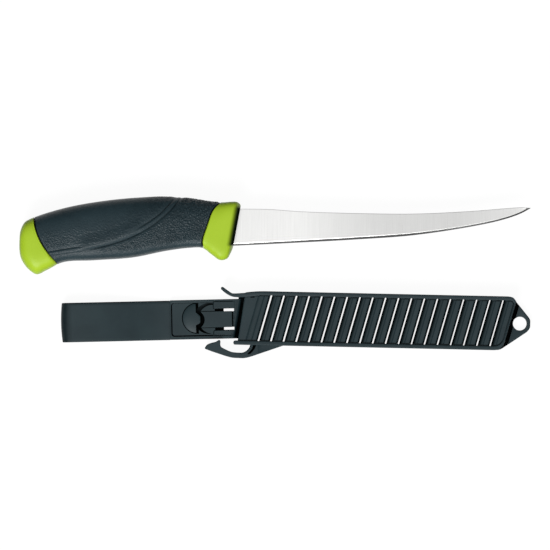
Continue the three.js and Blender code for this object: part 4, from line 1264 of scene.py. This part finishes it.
def clip_path():
    """Middle line of the folded strip in side view."""
    half = CLIP_THICK / 2
    radius = (CLIP_HEIGHT - CLIP_THICK) / 2
    fold = -CLIP_LENGTH + half + radius
    tail = TAIL_BOTTOM + half
    start, end = np.array([-NECK_LENGTH - 1, tail]), np.array([fold, CLIP_HEIGHT - half])
    first, second = start - (CLIP_RISE[0], 0), end + (CLIP_RISE[1], 0)
    shares = np.linspace(0, 1, 41)[:, None]
    rise = ((1 - shares) ** 3 * start + 3 * shares * (1 - shares) ** 2 * first
            + 3 * shares**2 * (1 - shares) * second + shares**3 * end)
    turn = arc((fold, half + radius), radius, math.pi / 2, 1.5 * math.pi, 28)
    flat = [(-TAIL_END, tail), (-16, tail), (-NECK_LENGTH + 0.05, tail), (-NECK_LENGTH - 0.1, tail)]
    back = [(u, half) for u in np.linspace(fold, LEAF_END, 6)[1:]]
    return np.array(flat + list(rise) + turn[1:] + back)


def clip_strip():
    path = clip_path()
    along = unit(np.gradient(path, axis=0))
    edges = rounded(-STRAP_HALF - 0.32, STRAP_HALF + 0.1, -CLIP_THICK / 2, CLIP_THICK / 2, CLIP_ROUND, 5)
    across, out = divided(tidied(edges), CLIP_STEP).T
    rings = []
    for (u, z), (du, dz) in zip(path, along):
        half = TAIL_HALF if u > -NECK_LENGTH else STRAP_HALF
        bowed = FOLD_BOW * smoothstep(*FOLD_BOW_FROM, -u) * (across / STRAP_HALF) ** 2
        rings.append(np.column_stack([u - dz * out + bowed, across * half / STRAP_HALF, z + du * out]))
    return skin(rings)


def stud():
    """Half-round domed stud with its tab, on the strip's tail."""
    top = TAIL_BOTTOM + CLIP_THICK
    turn = math.acos((STUD_EDGE - STUD[0]) / STUD_RADIUS)
    side = arc(STUD, STUD_RADIUS, turn, 2 * math.pi - turn, 48)
    tab = [(STUD_EDGE + way, height) for way, height in smooth(STUD_TAB, 5)]
    plan = prism(side + tab, top - 0.3, top + STUD_RISE, 0, 0.25)
    shoulder = STUD_RISE * STUD_SHOULDER
    rings = []
    for turn in np.linspace(0, math.pi / 2, 14)[:-1]:
        radius = (STUD_RADIUS + 0.5) * math.cos(turn)
        height = top + shoulder + (STUD_RISE - shoulder) * math.sin(turn)
        rings.append([(a, b, height) for a, b in arc(STUD, radius, 0, 2 * math.pi, 72)[:-1]])
    foot = [(a, b, top - 0.5) for a, b, _ in rings[0]]
    return common(plan, skin([foot, *rings]))


def belt_clip():
    """Folded strip with its stud; its tail is cut away under the well."""
    well = minus(disc(WELL, WELL_RADIUS, 0, 5), disc(ISLAND, ISLAND_RADIUS - 1.6, -1, 6),
                 box((SLOT_FROM - 1.5, 0), ACROSS, (-1, 6)))
    clip = plus(minus(clip_strip(), well), stud())
    u, v, z = points_of(clip)
    # painted shade under the plate, on the fold and along the strip's upper edge
    shade_under_plate = (u > -NECK_LENGTH + 0.5) * smoothstep(PLATE_BOTTOM + 0.3, PLATE_BOTTOM - 0.1, z)
    fold = 0.5 * smoothstep(6.2, 2.4, u + CLIP_LENGTH)
    edge = 0.7 * (u < -NECK_LENGTH) * smoothstep(STRAP_HALF - 0.5, STRAP_HALF - 0.2, v)
    return with_painted_shade(clip, np.maximum.reduce([shade_under_plate, fold, edge]))


# Placing

knife_top = spline(TOP_RAIL, np.linspace(0, 1, 2 * len(TOP_RAIL) - 1))[:, 1].max() * MM
knife_place = Vector((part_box("blade")[1].x - BLADE_LENGTH * MM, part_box("grip")[1].y - knife_top,
                      (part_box("grip")[0].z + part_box("grip")[1].z) / 2))
sheath_place = Vector((knife_place.x + SHEATH_SHIFT[0] * MM, knife_place.y + SHEATH_SHIFT[1] * MM, 0))
KNIFE = Matrix.Translation(knife_place) @ Matrix.Scale(MM, 4)
SHEATH = Matrix.Translation(sheath_place) @ Matrix.Rotation(SHEATH_TILT, 4, "Z") @ Matrix.Scale(MM, 4)
STRAP_IN_SHEATH = Matrix.Translation((0, -STRAP_DROP, 0)) @ Matrix.Rotation(STRAP_TURN, 4, "Z")
STRAP = SHEATH @ STRAP_IN_SHEATH

steel = steel_finish("ground_steel", *STEEL, BLADE_PAINTED_REFLECTION)
honed_steel = steel_finish("honed_edge", *HONED_STEEL_PAINTED_DARK, HONED_PAINTED_REFLECTION)
rubber = rubber_finish()
lime = plastic_finish("lime_plastic", **LIME)
plastic = plastic_finish("sheath_plastic", **SHEATH_PLASTIC)
streaked = plastic_finish("slat_plastic", streak=STREAK, **SHEATH_PLASTIC)

piece("blade_ground", blade_mesh(), KNIFE, [steel, honed_steel], "knife", "blade", 25)
piece("core_moulding", core_mesh(), KNIFE, [lime], "knife", "handle_core", 60)
piece("grip_sleeve", grip_mesh(), KNIFE, [rubber], "knife", "grip", 75)
piece("sheath_shell", sheath_shell(), SHEATH, [plastic], "sheath", "sheath_body")
piece("sheath_slats", slats(), SHEATH, [streaked], "sheath")
piece("clip_strip", belt_clip(), STRAP, [plastic], "sheath", "belt_clip")
hook = piece("hook_arm", hook_arm(), SHEATH, [plastic], None, "snap_hook")
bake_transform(hook)
tongue = piece("tongue_tab", tongue_mesh(), STRAP, [plastic], None, "latch_tongue")
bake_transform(tongue)


# Studio


def floor():
    """Pale floor that looks white and takes a soft shadow."""
    mesh = bpy.data.meshes.new("floor")
    near, far = -FLOOR_REACH, FLOOR_REACH
    mesh.from_pydata([(near, near, 0), (far, near, 0), (far, far, 0), (near, far, 0)], [], [(0, 1, 2, 3)])
    material = finish("floor_paper")
    material.node_tree.nodes.clear()
    paper = node(material, "BsdfDiffuse", values={"Color": (*FLOOR_TONE, 1)})
    white = node(material, "Emission", values={"Color": (1, 1, 1, 1), "Strength": FLOOR_GLOW})
    lit = node(material, "AddShader", {0: paper[0], 1: white[0]})
    rays = node(material, "LightPath")
    seen = rays["Is Camera Ray"]
    for ray in ("Is Glossy Ray", "Is Transmission Ray"):
        seen = node(material, "Math", {0: seen, 1: rays[ray]}, operation="MAXIMUM")[0]
    mixed = node(material, "MixShader", {0: seen, 1: paper[0], 2: lit[0]})
    node(material, "OutputMaterial", {"Surface": mixed[0]})
    mesh.materials.append(material)
    ground = added("floor", mesh)
    ground.location.z = FLOOR_LEVEL


def dome():
    """Soft light from above that falls off towards the horizon."""
    world = bpy.data.worlds.new("studio")
    world.use_nodes = True
    scene.world = world
    way = node(world, "SeparateXYZ", {"Vector": node(world, "TexCoord")["Generated"]})
    side = node(world, "Math", {0: way["Y"]}, {1: -math.sin(DOME_LEAN)}, operation="MULTIPLY")[0]
    up = node(world, "Math", {0: way["Z"], 2: side}, {1: math.cos(DOME_LEAN)}, operation="MULTIPLY_ADD")[0]
    level = grey_ramp(world, up, DOME_LEVELS)
    world.node_tree.links.new(level, world.node_tree.nodes["Background"].inputs["Color"])


def key_light():
    light = bpy.data.lights.new("key", "AREA")
    light.size = KEY_SIZE
    light.energy = KEY_POWER
    made = added("key", light)
    made.location = KEY_PLACE
    made.rotation_euler = (-Vector(KEY_PLACE)).to_track_quat("-Z", "Y").to_euler()


def camera():
    lens = bpy.data.cameras.new("view")
    lens.sensor_width = 36
    lens.lens = lens.sensor_width * VIEW_HEIGHT / VIEW_WIDTH
    scene.camera = added("view", lens)
    scene.camera.location = (*VIEW_CENTRE, VIEW_LEVEL + VIEW_HEIGHT)


floor()
dome()
key_light()
camera()
scene.view_settings.view_transform = "Standard"
